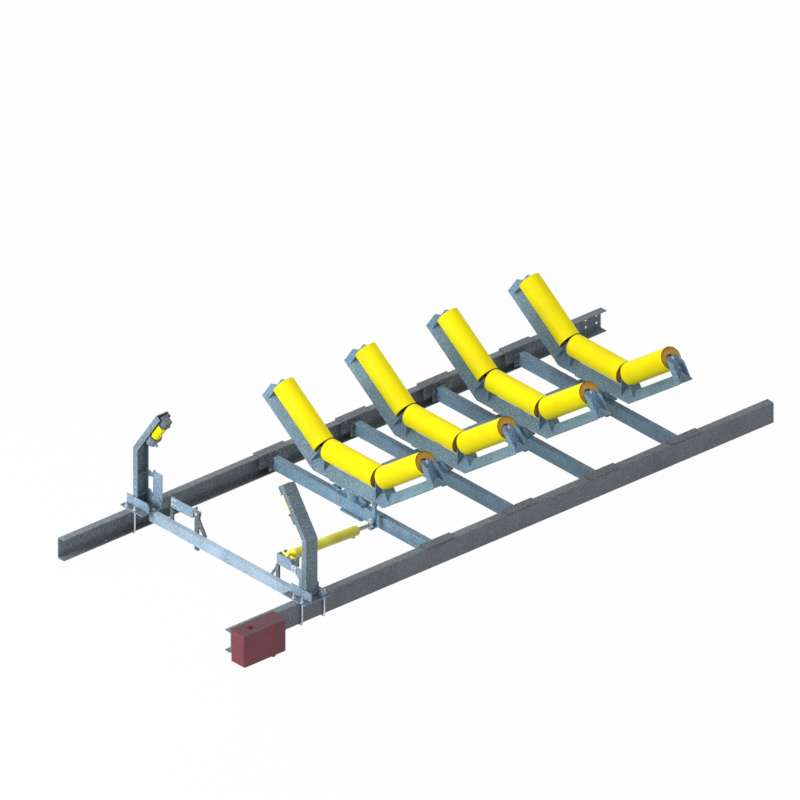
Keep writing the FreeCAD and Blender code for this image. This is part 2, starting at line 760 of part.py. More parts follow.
def roller(label, number, side):
    """A welded roller: a tube, two recessed end discs and bearing cups, turned about its own axis."""
    body = new_body(label)
    half = "roller_length / 2"
    outer = "roller_diameter / 2"
    inner = "(roller_diameter / 2 - roller_wall)"
    disc = "(roller_length / 2 - roller_end_recess)"
    disc_back = f"({disc} - roller_disc_wall)"
    cup = f"({disc} - roller_hub_length)"
    cup_radius = f"({ROLLER_BORE} + roller_hub_wall)"
    right = [(half, outer), (half, inner), (disc, inner), (disc, ROLLER_BORE), (cup, ROLLER_BORE),
             (cup, cup_radius), (disc_back, cup_radius), (disc_back, inner)]
    turned(body, right + [(f"-{x}", y) for x, y in reversed(right)])
    bind(body, Placement__Base__x=f"{FIRST_IDLER} + idler_pitch * {number - 1}",
         Placement__Base__y=f"{side} * roller_meet * (1 + cos(trough_angle))",
         Placement__Base__z=f"roller_axis_height + {abs(side)} * roller_meet * sin(trough_angle)")
    body.Placement.Rotation = FreeCAD.Rotation(ALONG, side * size("trough_angle"))
    return body


def roller_places(number):
    """Where a frame's three rollers stand."""
    reach = size("roller_meet")
    angle = size("trough_angle")
    tilt = math.radians(angle)
    x = idler_x[number - 1]
    height = size("roller_axis_height")
    return [place_at(x, side * reach * (1 + math.cos(tilt)), height + abs(side) * reach * math.sin(tilt),
                     ALONG, side * angle) for side in (LEFT, 0, RIGHT)]


def shaft_master():
    """A roller shaft with a flat-sided tongue at each end."""
    body = new_body("shaft_master", exported=False)
    radius = "shaft_diameter / 2"
    turned(body, [(f"-{SHAFT_HALF}", "0"), (f"-{SHAFT_HALF}", radius), (SHAFT_HALF, radius),
                  (SHAFT_HALF, "0")])
    flats = sketch_on(body, "XY_Plane")
    shoulder = f"({BRACKET_FACE} - weld_depth)"
    for x in (1, -1):
        for y in (1, -1):
            box_outline(flats, (f"{x} * shaft_flat / 2", f"{y} * {shoulder}"),
                        (f"{x} * shaft_diameter", f"{y} * ({SHAFT_HALF} + 1)"))
    pocket(body, flats, "shaft_diameter * 2", centred=True)
    return body


def ring_master(label, inner, outer, start, width):
    """A pair of rings about the Y axis, one at each end of a roller."""
    body = new_body(label, exported=False)
    stop = f"{start} + {width}"
    turned(body, [(start, inner), (start, outer), (stop, outer), (stop, inner)])
    mirror_across(body)
    return body


def link_bar():
    """The flat bar that makes the four frames swing together, drilled at every idler."""
    body = new_body("link_bar")
    plate = box_outline(sketch_on(body, "XY_Plane", "link_height"), ("-link_bar_end", "-link_bar_width / 2"),
                        (f"idler_pitch * {IDLERS - 1} + link_bar_end", "link_bar_width / 2"))
    for i in range(IDLERS):
        round_hole(plate, f"idler_pitch * {i}", "0", "link_pin / 2")
    pad(body, plate, "link_bar_wall")
    bind(body, Placement__Base__x=FIRST_IDLER, Placement__Base__y="link_offset")
    return body


def link_pins():
    """Shouldered pins fixed in the link bar, each with a nut below and a retaining ring above."""
    radius = "link_pin / 2"
    pin = new_body("link_pin_master", exported=False)
    ring_top = f"({ANGLE_BOTTOM} + side_clearance + link_ring_wall)"
    ring_about_z(pin, None, radius, "link_height - link_pin", f"{ring_top} + 1")
    collar_low = "(link_height + link_bar_wall)"
    ring_about_z(pin, None, "link_collar / 2", collar_low, f"{collar_low} + link_collar_wall")
    ring = new_body("link_ring_master", exported=False)
    ring_about_z(ring, radius, "link_collar / 2", f"{ring_top} - link_ring_wall", ring_top)
    nut = new_body("link_nut_master", exported=False)
    section = hexagon(sketch_on(nut, "XY_Plane", "link_height"), "(link_pin * 1.5)")
    round_hole(section, "0", "0", radius)
    pad(nut, section, "link_pin * 0.8", reverse=True)
    places = [place_at(x, size("link_offset"), 0) for x in idler_x]
    join("link_pins", [cluster(f"{item.Label}_copies", item, places, exported=False)
                       for item in (pin, ring, nut)])




def cylinder_yaw():
    """How far the cylinder is turned from the belt's direction, in degrees."""
    along = size("rod_pin_station") - size("cap_pin_station")
    inward = size("cradle_centre") - size("rod_pin_offset")
    return math.degrees(math.atan2(inward, along))


def cylinder_lean():
    """How far the cylinder slopes down to the rod's eye, in degrees."""
    along = size("rod_pin_station") - size("cap_pin_station")
    inward = size("cradle_centre") - size("rod_pin_offset")
    fall = size("cap_pin_height") - size("rod_pin_height")
    return math.degrees(math.atan2(fall, math.hypot(along, inward)))


def cylinder_barrel():
    """The hydraulic cylinder: a tube with cooling rings, a gland, a port and a trunnion at the cap."""
    body = new_body("cylinder_barrel")
    outer = "barrel_diameter / 2"
    bore = "(piston_diameter / 2)"
    gland = "(rod_diameter / 2 + running_clearance)"
    rings = []
    for i in range(1, 4):
        start = f"(barrel_start + barrel_rib_pitch * {i} - barrel_rib_width)"
        stop = f"({start} + barrel_rib_width)"
        rings += [(start, outer), (start, "barrel_rib / 2"), (stop, "barrel_rib / 2"), (stop, outer)]
    corners = ([("0", "0"), ("0", "cap_lug_width / 2"), ("barrel_start", "cap_lug_width / 2"),
                ("barrel_start", outer)]
               + rings
               + [("barrel_end", outer), ("barrel_end", gland), ("barrel_end - gland_length", gland),
                  ("barrel_end - gland_length", bore), ("barrel_start + gland_length / 2", bore),
                  ("barrel_start + gland_length / 2", "0")])
    lean = str(-cylinder_lean())
    turned(body, corners, role="XZ_Plane", turn=lean)
    port = sketch_on(body, "XZ_Plane", turn=lean, axis=UP)
    box_outline(port, ("barrel_end - gland_length", "-barrel_diameter * 0.68"),
                ("barrel_end - gland_length * 0.4", "-barrel_diameter * 0.45"))
    pad(body, port, "gland_length * 0.6", centred=True)
    for width, length in (("cap_lug / 2", "cap_lug_width"), ("trunnion / 2", "cradle_width")):
        across = sketch_on(body, "XZ_Plane", turn=str(-cylinder_yaw()), axis=ACROSS)
        disc = round_hole(across, "0", "0", width)
        pad(body, disc, length, centred=True)
    bind(body, Placement__Base__x=f"{NEAR_END} + cap_pin_station", Placement__Base__y="-cradle_centre",
         Placement__Base__z="cap_pin_height")
    body.Placement.Rotation = FreeCAD.Rotation(UP, cylinder_yaw())
    return body


def cylinder_rod():
    """The piston rod: a piston inside the barrel and a level eye on the lever's pin."""
    body = new_body("cylinder_rod")
    lean = str(-cylinder_lean())
    radius = "rod_diameter / 2"
    neck = "(rod_pin * 0.42)"
    turned(body, [("-piston_back", "0"), ("-piston_back", "piston_diameter / 2 - running_clearance"),
                  ("piston_length - piston_back", "piston_diameter / 2 - running_clearance"),
                  ("piston_length - piston_back", radius), ("-eye_diameter", radius),
                  ("-eye_diameter * 0.7", neck), ("-eye_diameter / 3", neck), ("-eye_diameter / 3", "0")],
           role="XZ_Plane", turn=lean)
    eye = round_hole(sketch_on(body, "XY_Plane", "-eye_height / 2"), "0", "0", "eye_diameter / 2")
    pad(body, eye, "eye_height")
    hole = round_hole(sketch_on(body, "XY_Plane", "-eye_height"), "0", "0", "rod_pin / 2 + eye_gap")
    pocket(body, hole, "eye_height * 2", reverse=True)
    bind(body, Placement__Base__x=f"{NEAR_END} + rod_pin_station", Placement__Base__y="-rod_pin_offset",
         Placement__Base__z="rod_pin_height")
    body.Placement.Rotation = FreeCAD.Rotation(UP, cylinder_yaw())
    return body


def rod_pin():
    """The pin through the lever's tab and the rod's eye, with a spacer and a nut on top."""
    radius = "rod_pin / 2"
    tab_low = f"({TAB_TOP} - tab_wall)"
    eye_top = "(rod_pin_height + eye_height / 2 + eye_float)"
    pin = new_body("rod_pin_master", exported=False)
    pad(pin, hexagon(sketch_on(pin, "XY_Plane", tab_low), "(rod_pin * 1.5)"), "rod_pin * 0.5", reverse=True)
    ring_about_z(pin, None, radius, tab_low, f"{eye_top} + rod_pin_stub")
    spacer = new_body("rod_spacer_master", exported=False)
    ring_about_z(spacer, radius, "(rod_spacer / 2)", eye_top, f"{eye_top} + rod_spacer_wall")
    nut = new_body("rod_nut_master", exported=False)
    section = hexagon(sketch_on(nut, "XY_Plane", f"{eye_top} + rod_spacer_wall"), "(rod_pin * 1.7)")
    round_hole(section, "0", "0", radius)
    pad(nut, section, "rod_nut_height")
    places = [place_at(near_end + size("rod_pin_station"), -size("rod_pin_offset"), 0)]
    join("rod_pin", [cluster(f"{item.Label}_copy", item, places, exported=False)
                     for item in (pin, spacer, nut)])


def cylinder_bracket():
    """An open-topped box for the cylinder's trunnion, with a drilled wing down to the arm's base."""
    body = new_body("cylinder_bracket")
    half = "cradle_width / 2"
    top = "(cradle_floor + cradle_depth)"
    box = box_outline(sketch_on(body, "XY_Plane", "cradle_floor"), ("0", f"-{half}"), ("cradle_length", half))
    pad(body, box, "cradle_depth")
    room = box_outline(sketch_on(body, "XY_Plane", "cradle_floor + cradle_wall"),
                       ("cradle_wall", f"cradle_wall - {half}"),
                       ("cradle_length + 1", f"{half} - cradle_wall"))
    pocket(body, room, "cradle_depth", reverse=True)
    slot = "(trunnion / 2 + trunnion_gap)"
    seat = "(cap_pin_station - cradle_front)"
    notch = box_outline(sketch_on(body, "XZ_Plane"), (f"{seat} - {slot}", f"cap_pin_height - {slot}"),
                        (f"{seat} + {slot}", f"{top} + 1"))
    pocket(body, notch, "cradle_width * 2", centred=True)
    base_inner = f"({WEB} - (base_width - base_overhang) - cradle_centre)"
    wing = sketch_on(body, "YZ_Plane")
    outline(wing, [(f"-{half}", top), (f"-{half} - wing_slope", "cradle_floor + wing_rise"),
                   (f"-{base_inner} - wing_foot", "cradle_floor + wing_rise"),
                   (f"-{base_inner} - wing_foot", BASE_TOP), (f"-{base_inner}", BASE_TOP),
                   (f"-{base_inner}", "cradle_floor - wing_foot"),
                   (f"-{base_inner} + wing_foot", "cradle_floor"), (f"-{half}", "cradle_floor")])
    pad(body, wing, "cradle_wall")
    holes = sketch_on(body, "YZ_Plane", "-1")
    for y, z in WING_BOLTS:
        round_hole(holes, f"-{half} - {y}", f"cradle_floor + {z}", "tie_bolt / 2 + bolt_clearance / 2")
    pocket(body, holes, "cradle_wall + 2", reverse=True)
    bind(body, Placement__Base__x=CRADLE_X, Placement__Base__y="-cradle_centre")
    return body


WING_BOLTS = ((30, 14), (30, 38), (56, 14), (56, 38))
LEFT_BOLTS = ((14, 20), (14, 52), (40, 20), (40, 52))


def left_bracket():
    """The matching bracket on the left: a folded plate with an ear that is bolted to its post."""
    body = new_body("left_bracket")
    wall = "cradle_wall"
    floor = "left_shelf_floor"
    face = box_outline(sketch_on(body, "YZ_Plane"), ("-left_shelf_length", floor),
                       ("0", f"{floor} + left_shelf_height"))
    for y, z in LEFT_BOLTS:
        round_hole(face, f"-{y}", f"{floor} + {z}", "tie_bolt / 2 + bolt_clearance / 2")
    pad(body, face, wall)
    end = "-left_shelf_length"
    top = f"{floor} + left_shelf_height"
    fold = outline(sketch_on(body, "YZ_Plane"), [
        (end, floor), (end, top), (f"{end} + {wall}", top), (f"{end} + {wall}", f"{floor} + {wall}"),
        (f"{end} * 0.6", f"{floor} + {wall}"), (f"{end} * 0.6", floor)])
    pad(body, fold, "left_return")
    corner_y = -size("left_shelf_length")
    corner_z = size(floor)
    round_edges(body, "left_corner",
                lambda edge: runs(edge, ALONG) and near(edge.Vertexes[0].Y, corner_y)
                and near(edge.Vertexes[0].Z, corner_z))
    ear_low = f"{top} - left_ear"
    ear = box_outline(sketch_on(body, "YZ_Plane", POST_BACK), (f"{end} - post_gap - post_head / 2", ear_low),
                      (end, top))
    round_hole(ear, f"{end} - post_gap", f"{top} - left_ear / 2", "tie_bolt / 2 + bolt_clearance / 2")
    pad(body, ear, wall)
    bind(body, Placement__Base__x=CRADLE_X, Placement__Base__y="left_shelf_start")
    return body


def bracket_posts():
    """Flat posts and braces welded to the back of the tie bar under both brackets."""
    body = new_body("bracket_posts")
    low = "stringer_height - tie_height"
    lean = "post_width * 0.6"
    right_post = "(-cradle_centre + cradle_width / 2)"
    head_top = "left_shelf_floor + left_shelf_height"
    knee = f"({head_top} - post_rise)"
    shapes = (
        [(right_post, low), (right_post, "cradle_floor"), (f"{right_post} - post_width", "cradle_floor"),
         (f"{right_post} - post_width", low)],
        [(right_post, "cradle_floor - brace_drop"), (right_post, f"cradle_floor - brace_drop - {lean}"),
         (f"{right_post} + brace_reach", "brace_low"), (f"{right_post} + brace_reach + {lean}", "brace_low")],
        [("left_shelf_start - post_width", low), ("left_shelf_start - post_width", "left_shelf_floor"),
         ("left_shelf_start", "left_shelf_floor"), ("left_shelf_start", low)],
        [(f"{LEFT_POST} + post_head / 2", "post_low"), (f"{LEFT_POST} + post_head / 2", head_top),
         (f"{LEFT_POST} - post_head / 2", head_top), (f"{LEFT_POST} - post_head / 2", knee),
         (f"{LEFT_POST} - post_head * 2", "brace_low + post_width / 2"),
         (f"{LEFT_POST} - post_head * 1.6", "brace_low"),
         (f"{LEFT_POST} - post_head / 4", f"{knee} - post_head"),
         (f"{LEFT_POST} - post_head / 4", "post_low")],
    )
    for corners in shapes:
        pad(body, outline(sketch_on(body, "YZ_Plane"), corners), "post_wall")
    hole = round_hole(sketch_on(body, "YZ_Plane", "-1"), LEFT_POST, f"{head_top} - left_ear / 2",
                      "tie_bolt / 2 + bolt_clearance / 2")
    pocket(body, hole, "post_wall + 2", reverse=True)
    bind(body, Placement__Base__x=f"{TIE_X} + tie_flange")
    return body


LEFT_POST = "(left_shelf_start - left_shelf_length - post_gap)"
POST_BACK = f"({TIE_X} + tie_flange + post_wall - {CRADLE_X})"


def tie_bar():
    """The channel across the set that ties the two arm bases together."""
    body = new_body("tie_bar")
    low = "(stringer_height - tie_height)"
    top = "stringer_height"
    wall = "tie_wall"
    section = sketch_on(body, "XZ_Plane")
    outline(section, [("0", low), ("0", top), ("tie_flange", top), ("tie_flange", f"{top} - {wall}"),
                      (wall, f"{top} - {wall}"), (wall, f"{low} + {wall}"), ("tie_flange", f"{low} + {wall}"),
                      ("tie_flange", low)])
    pad(body, section, "tie_length", centred=True)
    holes = sketch_on(body, "XY_Plane", f"{top} - {wall} - 1")
    for side in (1, -1):
        round_hole(holes, "tie_flange / 2", f"{side} * {TIE_BOLT_Y}", "tie_bolt / 2 + bolt_clearance / 2")
    pocket(body, holes, f"{wall} + 2", reverse=True)
    bind(body, Placement__Base__x=TIE_X)
    return body


BASE_OUTER = f"({WEB} + base_overhang)"
BASE_INNER = f"({BASE_OUTER} - base_width)"
TIE_BOLT_Y = f"({BASE_INNER} + tie_bolt_inset)"
HOOK_ROWS = (f"({WEB} + hook_gap)", f"({FLANGE_TIP} - hook_gap)")


def arm_bases():
    """A drilled plate over each stringer with two uprights that hold the arm's foot."""
    body = new_body("arm_bases")
    plate = box_outline(sketch_on(body, "XY_Plane", "stringer_height"), ("-base_length / 2", BASE_INNER),
                        ("base_length / 2", BASE_OUTER))
    for row in HOOK_ROWS:
        for end in (1, -1):
            round_hole(plate, f"{end} * hook_spread", row, "hook_bolt / 2 + bolt_clearance / 2")
    round_hole(plate, "tie_flange / 2 - tie_offset", TIE_BOLT_Y, "tie_bolt / 2 + bolt_clearance / 2")
    pad(body, plate, "base_wall")
    for end in (1, -1):
        upright = sketch_on(body, "YZ_Plane", f"{end} * (arm_width / 2 + arm_wall / 2)")
        outline(upright, [(BASE_INNER, BASE_TOP), (BASE_INNER, f"{BASE_TOP} + base_lip * 0.7"),
                          (f"{BASE_INNER} + base_lip * 0.3", f"{BASE_TOP} + base_lip"),
                          (BASE_OUTER, f"{BASE_TOP} + base_lip"), (BASE_OUTER, BASE_TOP)])
        pad(body, upright, "arm_wall", centred=True)
    mirror_across(body)
    bind(body, Placement__Base__x=ARM_X)
    return body


def hook_bolts():
    """Hooked rods that clamp the arm bases to the stringers, with their nuts."""
    radius = size("hook_bolt") / 2
    bend = size("hook_bend")
    top = base_top + size("hook_top")
    low = -radius
    quarter = bend * (1 - math.cos(math.radians(45)))
    start = FreeCAD.Vector(0, 0, top)
    turn_start = FreeCAD.Vector(0, 0, low + bend)
    turn_middle = FreeCAD.Vector(0, quarter, low + quarter)
    turn_end = FreeCAD.Vector(0, bend, low)
    tip = FreeCAD.Vector(0, bend + size("hook_tip"), low)
    path = Part.Wire([Part.makeLine(start, turn_start), Part.Arc(turn_start, turn_middle, turn_end).toShape(),
                      Part.makeLine(turn_end, tip)])
    section = Part.Wire([Part.makeCircle(radius, start, FreeCAD.Vector(0, 0, -1))])
    rod = doc.addObject("Part::Feature", "hook_master")
    rod.Shape = path.makePipeShell([section], True, True)
    nut = new_body("hook_nut_master", exported=False)
    face = hexagon(sketch_on(nut, "XY_Plane", BASE_TOP), "(hook_bolt * 1.6)")
    round_hole(face, "0", "0", "hook_bolt / 2")
    pad(nut, face, "hook_bolt * 0.8")
    gap = size("hook_gap")
    places = []
    for side in (LEFT, RIGHT):
        for end in (1, -1):
            x = arm_x + end * size("hook_spread")
            places.append(place_at(x, side * (web + gap), 0, UP, 180 if side == LEFT else 0))
            places.append(place_at(x, side * (flange_tip - gap), 0, UP, 0 if side == LEFT else 180))
    join("hook_bolts", [cluster("hook_rods", rod, places, exported=False),
                        cluster("hook_nuts", nut, places, exported=False)])
    masters.append(rod)


KNEE = f"({BASE_TOP} + arm_knee)"


def arm_strip(side, low_depth, high_depth):
    """The side view of a layer of the bent arm between two depths from its outer face."""
    bend = "tan(arm_angle / 2)"

    def knee(depth):
        return f"{side} * ({ARM_FACE} - ({depth}))", f"{KNEE} - ({depth}) * {bend}"

    def end(depth):
        return (f"{side} * ({ARM_FACE} - arm_upper * sin(arm_angle) - ({depth}) * cos(arm_angle))",
                f"{KNEE} + arm_upper * cos(arm_angle) - ({depth}) * sin(arm_angle)")

    def foot(depth):
        return f"{side} * ({ARM_FACE} - ({depth}))", BASE_TOP

    return [foot(low_depth), knee(low_depth), end(low_depth),
            end(high_depth), knee(high_depth), foot(high_depth)]


def arm(side, label):
    """A channel bent inwards above its knee, open to the middle, with two stiffeners low down."""
    body = new_body(label)
    back = outline(sketch_on(body, "YZ_Plane"), arm_strip(side, "0", "arm_wall"))
    pad(body, back, "arm_width", centred=True)
    for end in (1, -1):
        flange = sketch_on(body, "YZ_Plane", f"{end} * (arm_width - arm_wall) / 2")
        pad(body, outline(flange, arm_strip(side, "0", "arm_depth")), "arm_wall", centred=True)
    for share in (0.16, 0.52):
        height = f"({BASE_TOP} + arm_knee * {share})"
        shelf = box_outline(sketch_on(body, "YZ_Plane"), (f"{side} * ({ARM_FACE} - arm_wall / 2)", height),
                            (f"{side} * ({ARM_FACE} - arm_depth + arm_wall)", f"{height} + arm_wall"))
        pad(body, shelf, "arm_width - arm_wall", centred=True)
    bind(body, Placement__Base__x=ARM_X)
    return body


def sensor_place(side):
    """The knee's outer corner, with Z up the arm's slope and Y away from the belt on the left."""
    knee = base_top + size("arm_knee")
    outer = web - size("arm_inset")
    place = place_at(arm_x, side * outer, knee, ALONG, side * size("arm_angle"))
    return place if side == LEFT else place.multiply(place_at(0, 0, 0, UP, 180))


def sensing_roller(side, label):
    """The small upright roller that a straying belt turns, with its shaft ends."""
    body = new_body(label)
    half = "sensor_length / 2"
    shaft = "sensor_shaft / 2"
    end = f"({half} + yoke_gap + yoke_wall - side_clearance)"
    radius = "sensor_diameter / 2"
    turned(body, [(f"-{end}", "0"), (f"-{end}", shaft), (f"-{half}", shaft), (f"-{half}", radius),
                  (half, radius), (half, shaft), (end, shaft), (end, "0")])
    middle = sensor_place(side).multVec(FreeCAD.Vector(0, -size("sensor_offset"), size("sensor_centre")))
    body.Placement = place_at(middle.x, middle.y, middle.z, ALONG, 90 + side * size("arm_angle"))
    return body


EAR = "(sensor_length / 2 + yoke_gap)"


def sensing_yokes():
    """The forks on the arms that carry the sensing rollers, each with a bearing block and a knob."""
    yoke = new_body("yoke_master", exported=False)
    half = f"({EAR} + yoke_wall)"
    back = box_outline(sketch_on(yoke, "YZ_Plane"), ("-arm_wall - yoke_wall", f"sensor_centre - {half}"),
                       ("-arm_wall", f"sensor_centre + {half}"))
    pad(yoke, back, "yoke_width", centred=True)
    tip = "(-sensor_offset - yoke_width * 0.36)"
    for side in (1, -1):
        mid = f"(sensor_centre + {side} * ({EAR} + yoke_wall / 2))"
        ear = box_outline(sketch_on(yoke, "YZ_Plane"), (tip, f"{mid} - yoke_wall / 2"),
                          ("-arm_wall", f"{mid} + yoke_wall / 2"))
        pad(yoke, ear, "yoke_width", centred=True)
    block_low = f"(sensor_centre + {half})"
    block = box_outline(sketch_on(yoke, "XY_Plane", block_low), ("-top_bearing_width / 2", tip),
                        ("top_bearing_width / 2", "-arm_wall - yoke_wall * 2"))
    pad(yoke, block, "top_bearing_height")
    knob_plane = sketch_on(yoke, "XZ_Plane", f"-({tip})", f"{block_low} + top_bearing_height / 2")
    knob = round_hole(knob_plane, "0", "0", "knob_diameter / 2")
    pad(yoke, knob, "knob_length")
    bore = round_hole(sketch_on(yoke, "XY_Plane", f"sensor_centre - {half} - 1"), "0", "-sensor_offset",
                      "sensor_shaft / 2 + running_clearance")
    pocket(yoke, bore, f"2 * {half} + 1", reverse=True)
    cluster("sensing_yokes", yoke, [sensor_place(side) for side in (LEFT, RIGHT)])


def sensing_pumps():
    """The pumps below the sensing rollers, with a flange and a hose port."""
    pump = new_body("pump_master", exported=False)
    top = f"(sensor_centre - {EAR} - yoke_wall)"
    barrel = round_hole(sketch_on(pump, "XY_Plane", f"{top} - pump_length"), "0", "-sensor_offset",
                        "pump_diameter / 2")
    pad(pump, barrel, "pump_length")
    flange = round_hole(sketch_on(pump, "XY_Plane", f"{top} - yoke_wall"), "0", "-sensor_offset",
                        "pump_flange / 2")
    pad(pump, flange, "yoke_wall")
    port = round_hole(sketch_on(pump, "XZ_Plane", "sensor_offset", f"{top} - pump_length * 0.7"), "0", "0",
                      "sensor_shaft / 2")
    pad(pump, port, "pump_diameter * 0.7", reverse=False)
    cluster("sensing_pumps", pump, [sensor_place(side) for side in (LEFT, RIGHT)])


def arm_guards():
    """A tall plate beside each arm, with a web down on the base and a tie to the arm."""
    body = new_body("arm_guards")
    inner = f"({BASE_INNER} - guard_inset)"
    outer = f"({inner} + guard_width)"
    start = "(arm_width / 2 + arm_wall)"
    top = f"({BASE_TOP} + guard_height)"
    plate = sketch_on(body, "YZ_Plane", start)
    web_top = f"({BASE_TOP} + guard_web_height)"
    outline(plate, [(f"{inner} + guard_inset", BASE_TOP), (inner, f"{BASE_TOP} + guard_slope"), (inner, top),
                    (outer, top), (outer, f"{web_top} - guard_slope"), (f"{outer} + guard_slope", web_top),
                    (f"{outer} + guard_foot", web_top), (f"{outer} + guard_foot", BASE_TOP)])
    pad(body, plate, "guard_wall")
    fold = sketch_on(body, "YZ_Plane", start)
    box_outline(fold, (f"{outer} - guard_wall", f"{web_top} - guard_slope"), (outer, top))
    pad(body, fold, "guard_fold")
    tie = sketch_on(body, "YZ_Plane", "arm_width / 2")
    lip = f"({ARM_FACE} - arm_depth + guard_lap)"
    outline(tie, [(f"{outer} - guard_wall", f"{top} - guard_tie / 2"), (lip, f"{top} - guard_lap"),
                  (lip, f"{top} - guard_lap - guard_tie"), (f"{outer} - guard_wall", f"{top} - guard_tie")])
    pad(body, tie, "arm_wall + guard_wall")
    mirror_across(body)
    bind(body, Placement__Base__x=ARM_X)
    return body


def saddle_bolts():
    """The bolts that hold the crossbeams' end plates to the saddles."""
    master = bolt_master("saddle_bolt_master", "saddle_bolt", "end_plate_wall + saddle_wall")
    z = size("crossbeam_drop") + size("crossbeam_height") - size("saddle_bolt_drop")
    y = flange_tip - size("saddle_wall") - size("end_plate_wall")
    places = []
    for x in idler_x:
        for end in (1, -1):
            for side in (LEFT, RIGHT):
                aside = end * size("saddle_bolt_spread") / 2
                places.append(place_at(x + aside, side * y, z, ALONG, side * 90))
    cluster("saddle_bolts", master, places)


def bracket_bolts():
    """The bolts of the two brackets and of the tie bar."""
    front = bolt_master("bracket_bolt_master", "tie_bolt", "cradle_wall")
    x = near_end + size("cradle_front")
    turn = FreeCAD.Vector(0, 1, 0)
    half = size("cradle_width") / 2
    places = [place_at(x, -size("cradle_centre") - half - y, size("cradle_floor") + z, turn, -90)
              for y, z in WING_BOLTS]
    places += [place_at(x, size("left_shelf_start") - y, size("left_shelf_floor") + z, turn, -90)
               for y, z in LEFT_BOLTS]
    post = bolt_master("post_bolt_master", "tie_bolt", "post_wall + cradle_wall")
    post_x = arm_x - size("tie_offset") + size("tie_flange")
    post_y = size("left_shelf_start") - size("left_shelf_length") - size("post_gap")
    post_z = size("left_shelf_floor") + size("left_shelf_height") - size("left_ear") / 2
    post_places = [place_at(post_x, post_y, post_z, turn, -90)]
    upper = bolt_master("tie_bolt_master", "tie_bolt", "base_wall + tie_wall")
    base_inner = web + size("base_overhang") - size("base_width")
    tie_x = arm_x - size("tie_offset") + size("tie_flange") / 2
    tie_y = base_inner + size("tie_bolt_inset")
    tie_places = [place_at(tie_x, side * tie_y, base_top) for side in (LEFT, RIGHT)]
    join("bracket_bolts", [cluster("front_bolts", front, places, exported=False),
                           cluster("post_bolts", post, post_places, exported=False),
                           cluster("tie_bolts", upper, tie_places, exported=False)])


def oil_tank():
    """A sheet steel tank on the right stringer's web, open at the top under its lid."""
    body = new_body("oil_tank")
    low = "-tank_hang"
    outside = box_outline(sketch_on(body, "XY_Plane", low), ("0", "-tank_depth"), ("tank_length", "0"))
    pad(body, outside, "tank_height")
    round_edges(body, "tank_corner", lambda edge: runs(edge, UP) and edge.Vertexes[0].Y < -1)
    room = box_outline(sketch_on(body, "XY_Plane", f"{low} + tank_wall"),
                       ("tank_wall", "tank_wall - tank_depth"),
                       ("tank_length - tank_wall", "-tank_wall"))
    pocket(body, room, "tank_height", reverse=True)
    bind(body, Placement__Base__x=NEAR_END, Placement__Base__y=f"-{WEB}")
    return body


def tank_lid():
    """The tank's lid, with a small lip all round."""
    body = new_body("tank_lid")
    plate = box_outline(sketch_on(body, "XY_Plane", "tank_height - tank_hang"),
                        ("-lid_lip", "-tank_depth - lid_lip"), ("tank_length + lid_lip", "lid_lip"))
    pad(body, plate, "lid_wall")
    round_edges(body, "tank_corner", lambda edge: runs(edge, UP) and edge.Vertexes[0].Y < -1)
    bind(body, Placement__Base__x=NEAR_END, Placement__Base__y=f"-{WEB}")
    return body


def tank_plugs():
    """Two screw plugs: the filler on the lid and the drain under the floor."""
    plug = new_body("plug_master", exported=False)
    ring_about_z(plug, None, "cap_diameter / 2", "0", "cap_height")
    pad(plug, hexagon(sketch_on(plug, "XY_Plane", "cap_height"), "plug_diameter"), "plug_height")
    y = -web - size("tank_depth")
    lid_top = size("tank_height") - size("tank_hang") + size("lid_wall")
    places = [place_at(near_end + size("tank_length") * 0.28, y + size("tank_depth") / 2, lid_top),
              place_at(near_end + size("tank_length") * 0.75, y + size("cap_diameter") * 0.75,
                       -size("tank_hang"), ALONG, 180)]
    cluster("tank_plugs", plug, places)


stringer(LEFT, "left_stringer")
stringer(RIGHT, "right_stringer")
for idler in range(1, IDLERS + 1):
    crossbeam(idler)
saddles()
saddle_bolts()
pivot_bases()
thrust_rings()

shafts = shaft_master()
cup_start = "(roller_length / 2 - roller_end_recess - roller_hub_length + 1)"
bearings = ring_master("bearing_master", "shaft_diameter / 2", "bearing_diameter / 2", cup_start,
                       "bearing_width")
seals = ring_master("seal_master", "shaft_diameter / 2", f"{ROLLER_BORE} - side_clearance",
                    f"{cup_start} + bearing_width", "seal_width - 1")
for idler in range(1, IDLERS + 1):
    idler_frame(idler)
    roller(f"left_roller_{idler}", idler, LEFT)
    roller(f"centre_roller_{idler}", idler, 0)
    roller(f"right_roller_{idler}", idler, RIGHT)
    cluster(f"roller_shafts_{idler}", shafts, roller_places(idler))
    cluster(f"roller_bearings_{idler}", bearings, roller_places(idler))
    cluster(f"roller_seals_{idler}", seals, roller_places(idler))

link_bar()
link_pins()
cylinder_barrel()
cylinder_rod()
rod_pin()
tie_bar()
bracket_posts()
cylinder_bracket()
left_bracket()
bracket_bolts()
arm_bases()
hook_bolts()
arm(LEFT, "left_arm")
arm(RIGHT, "right_arm")
sensing_roller(LEFT, "left_sensing_roller")
sensing_roller(RIGHT, "right_sensing_roller")
sensing_yokes()
sensing_pumps()
arm_guards()
oil_tank()
tank_lid()
tank_plugs()

doc.recompute()
for item in doc.Objects:
    if {"Invalid", "Error"} & set(item.State):
        raise RuntimeError(f"{item.Label} did not recompute: {item.State}")
for piece in pieces:
    if piece.Shape.isNull() or not piece.Shape.isValid() or not piece.Shape.Solids:
        raise RuntimeError(f"{piece.Label} is not a valid solid")
    piece.Shape.exportStep(f"parts/{piece.Label}.step")
    print(piece.Label, len(piece.Shape.Solids), "solids,", round(piece.Shape.Volume), "cubic millimetres")
print(len(pieces), "nodes")
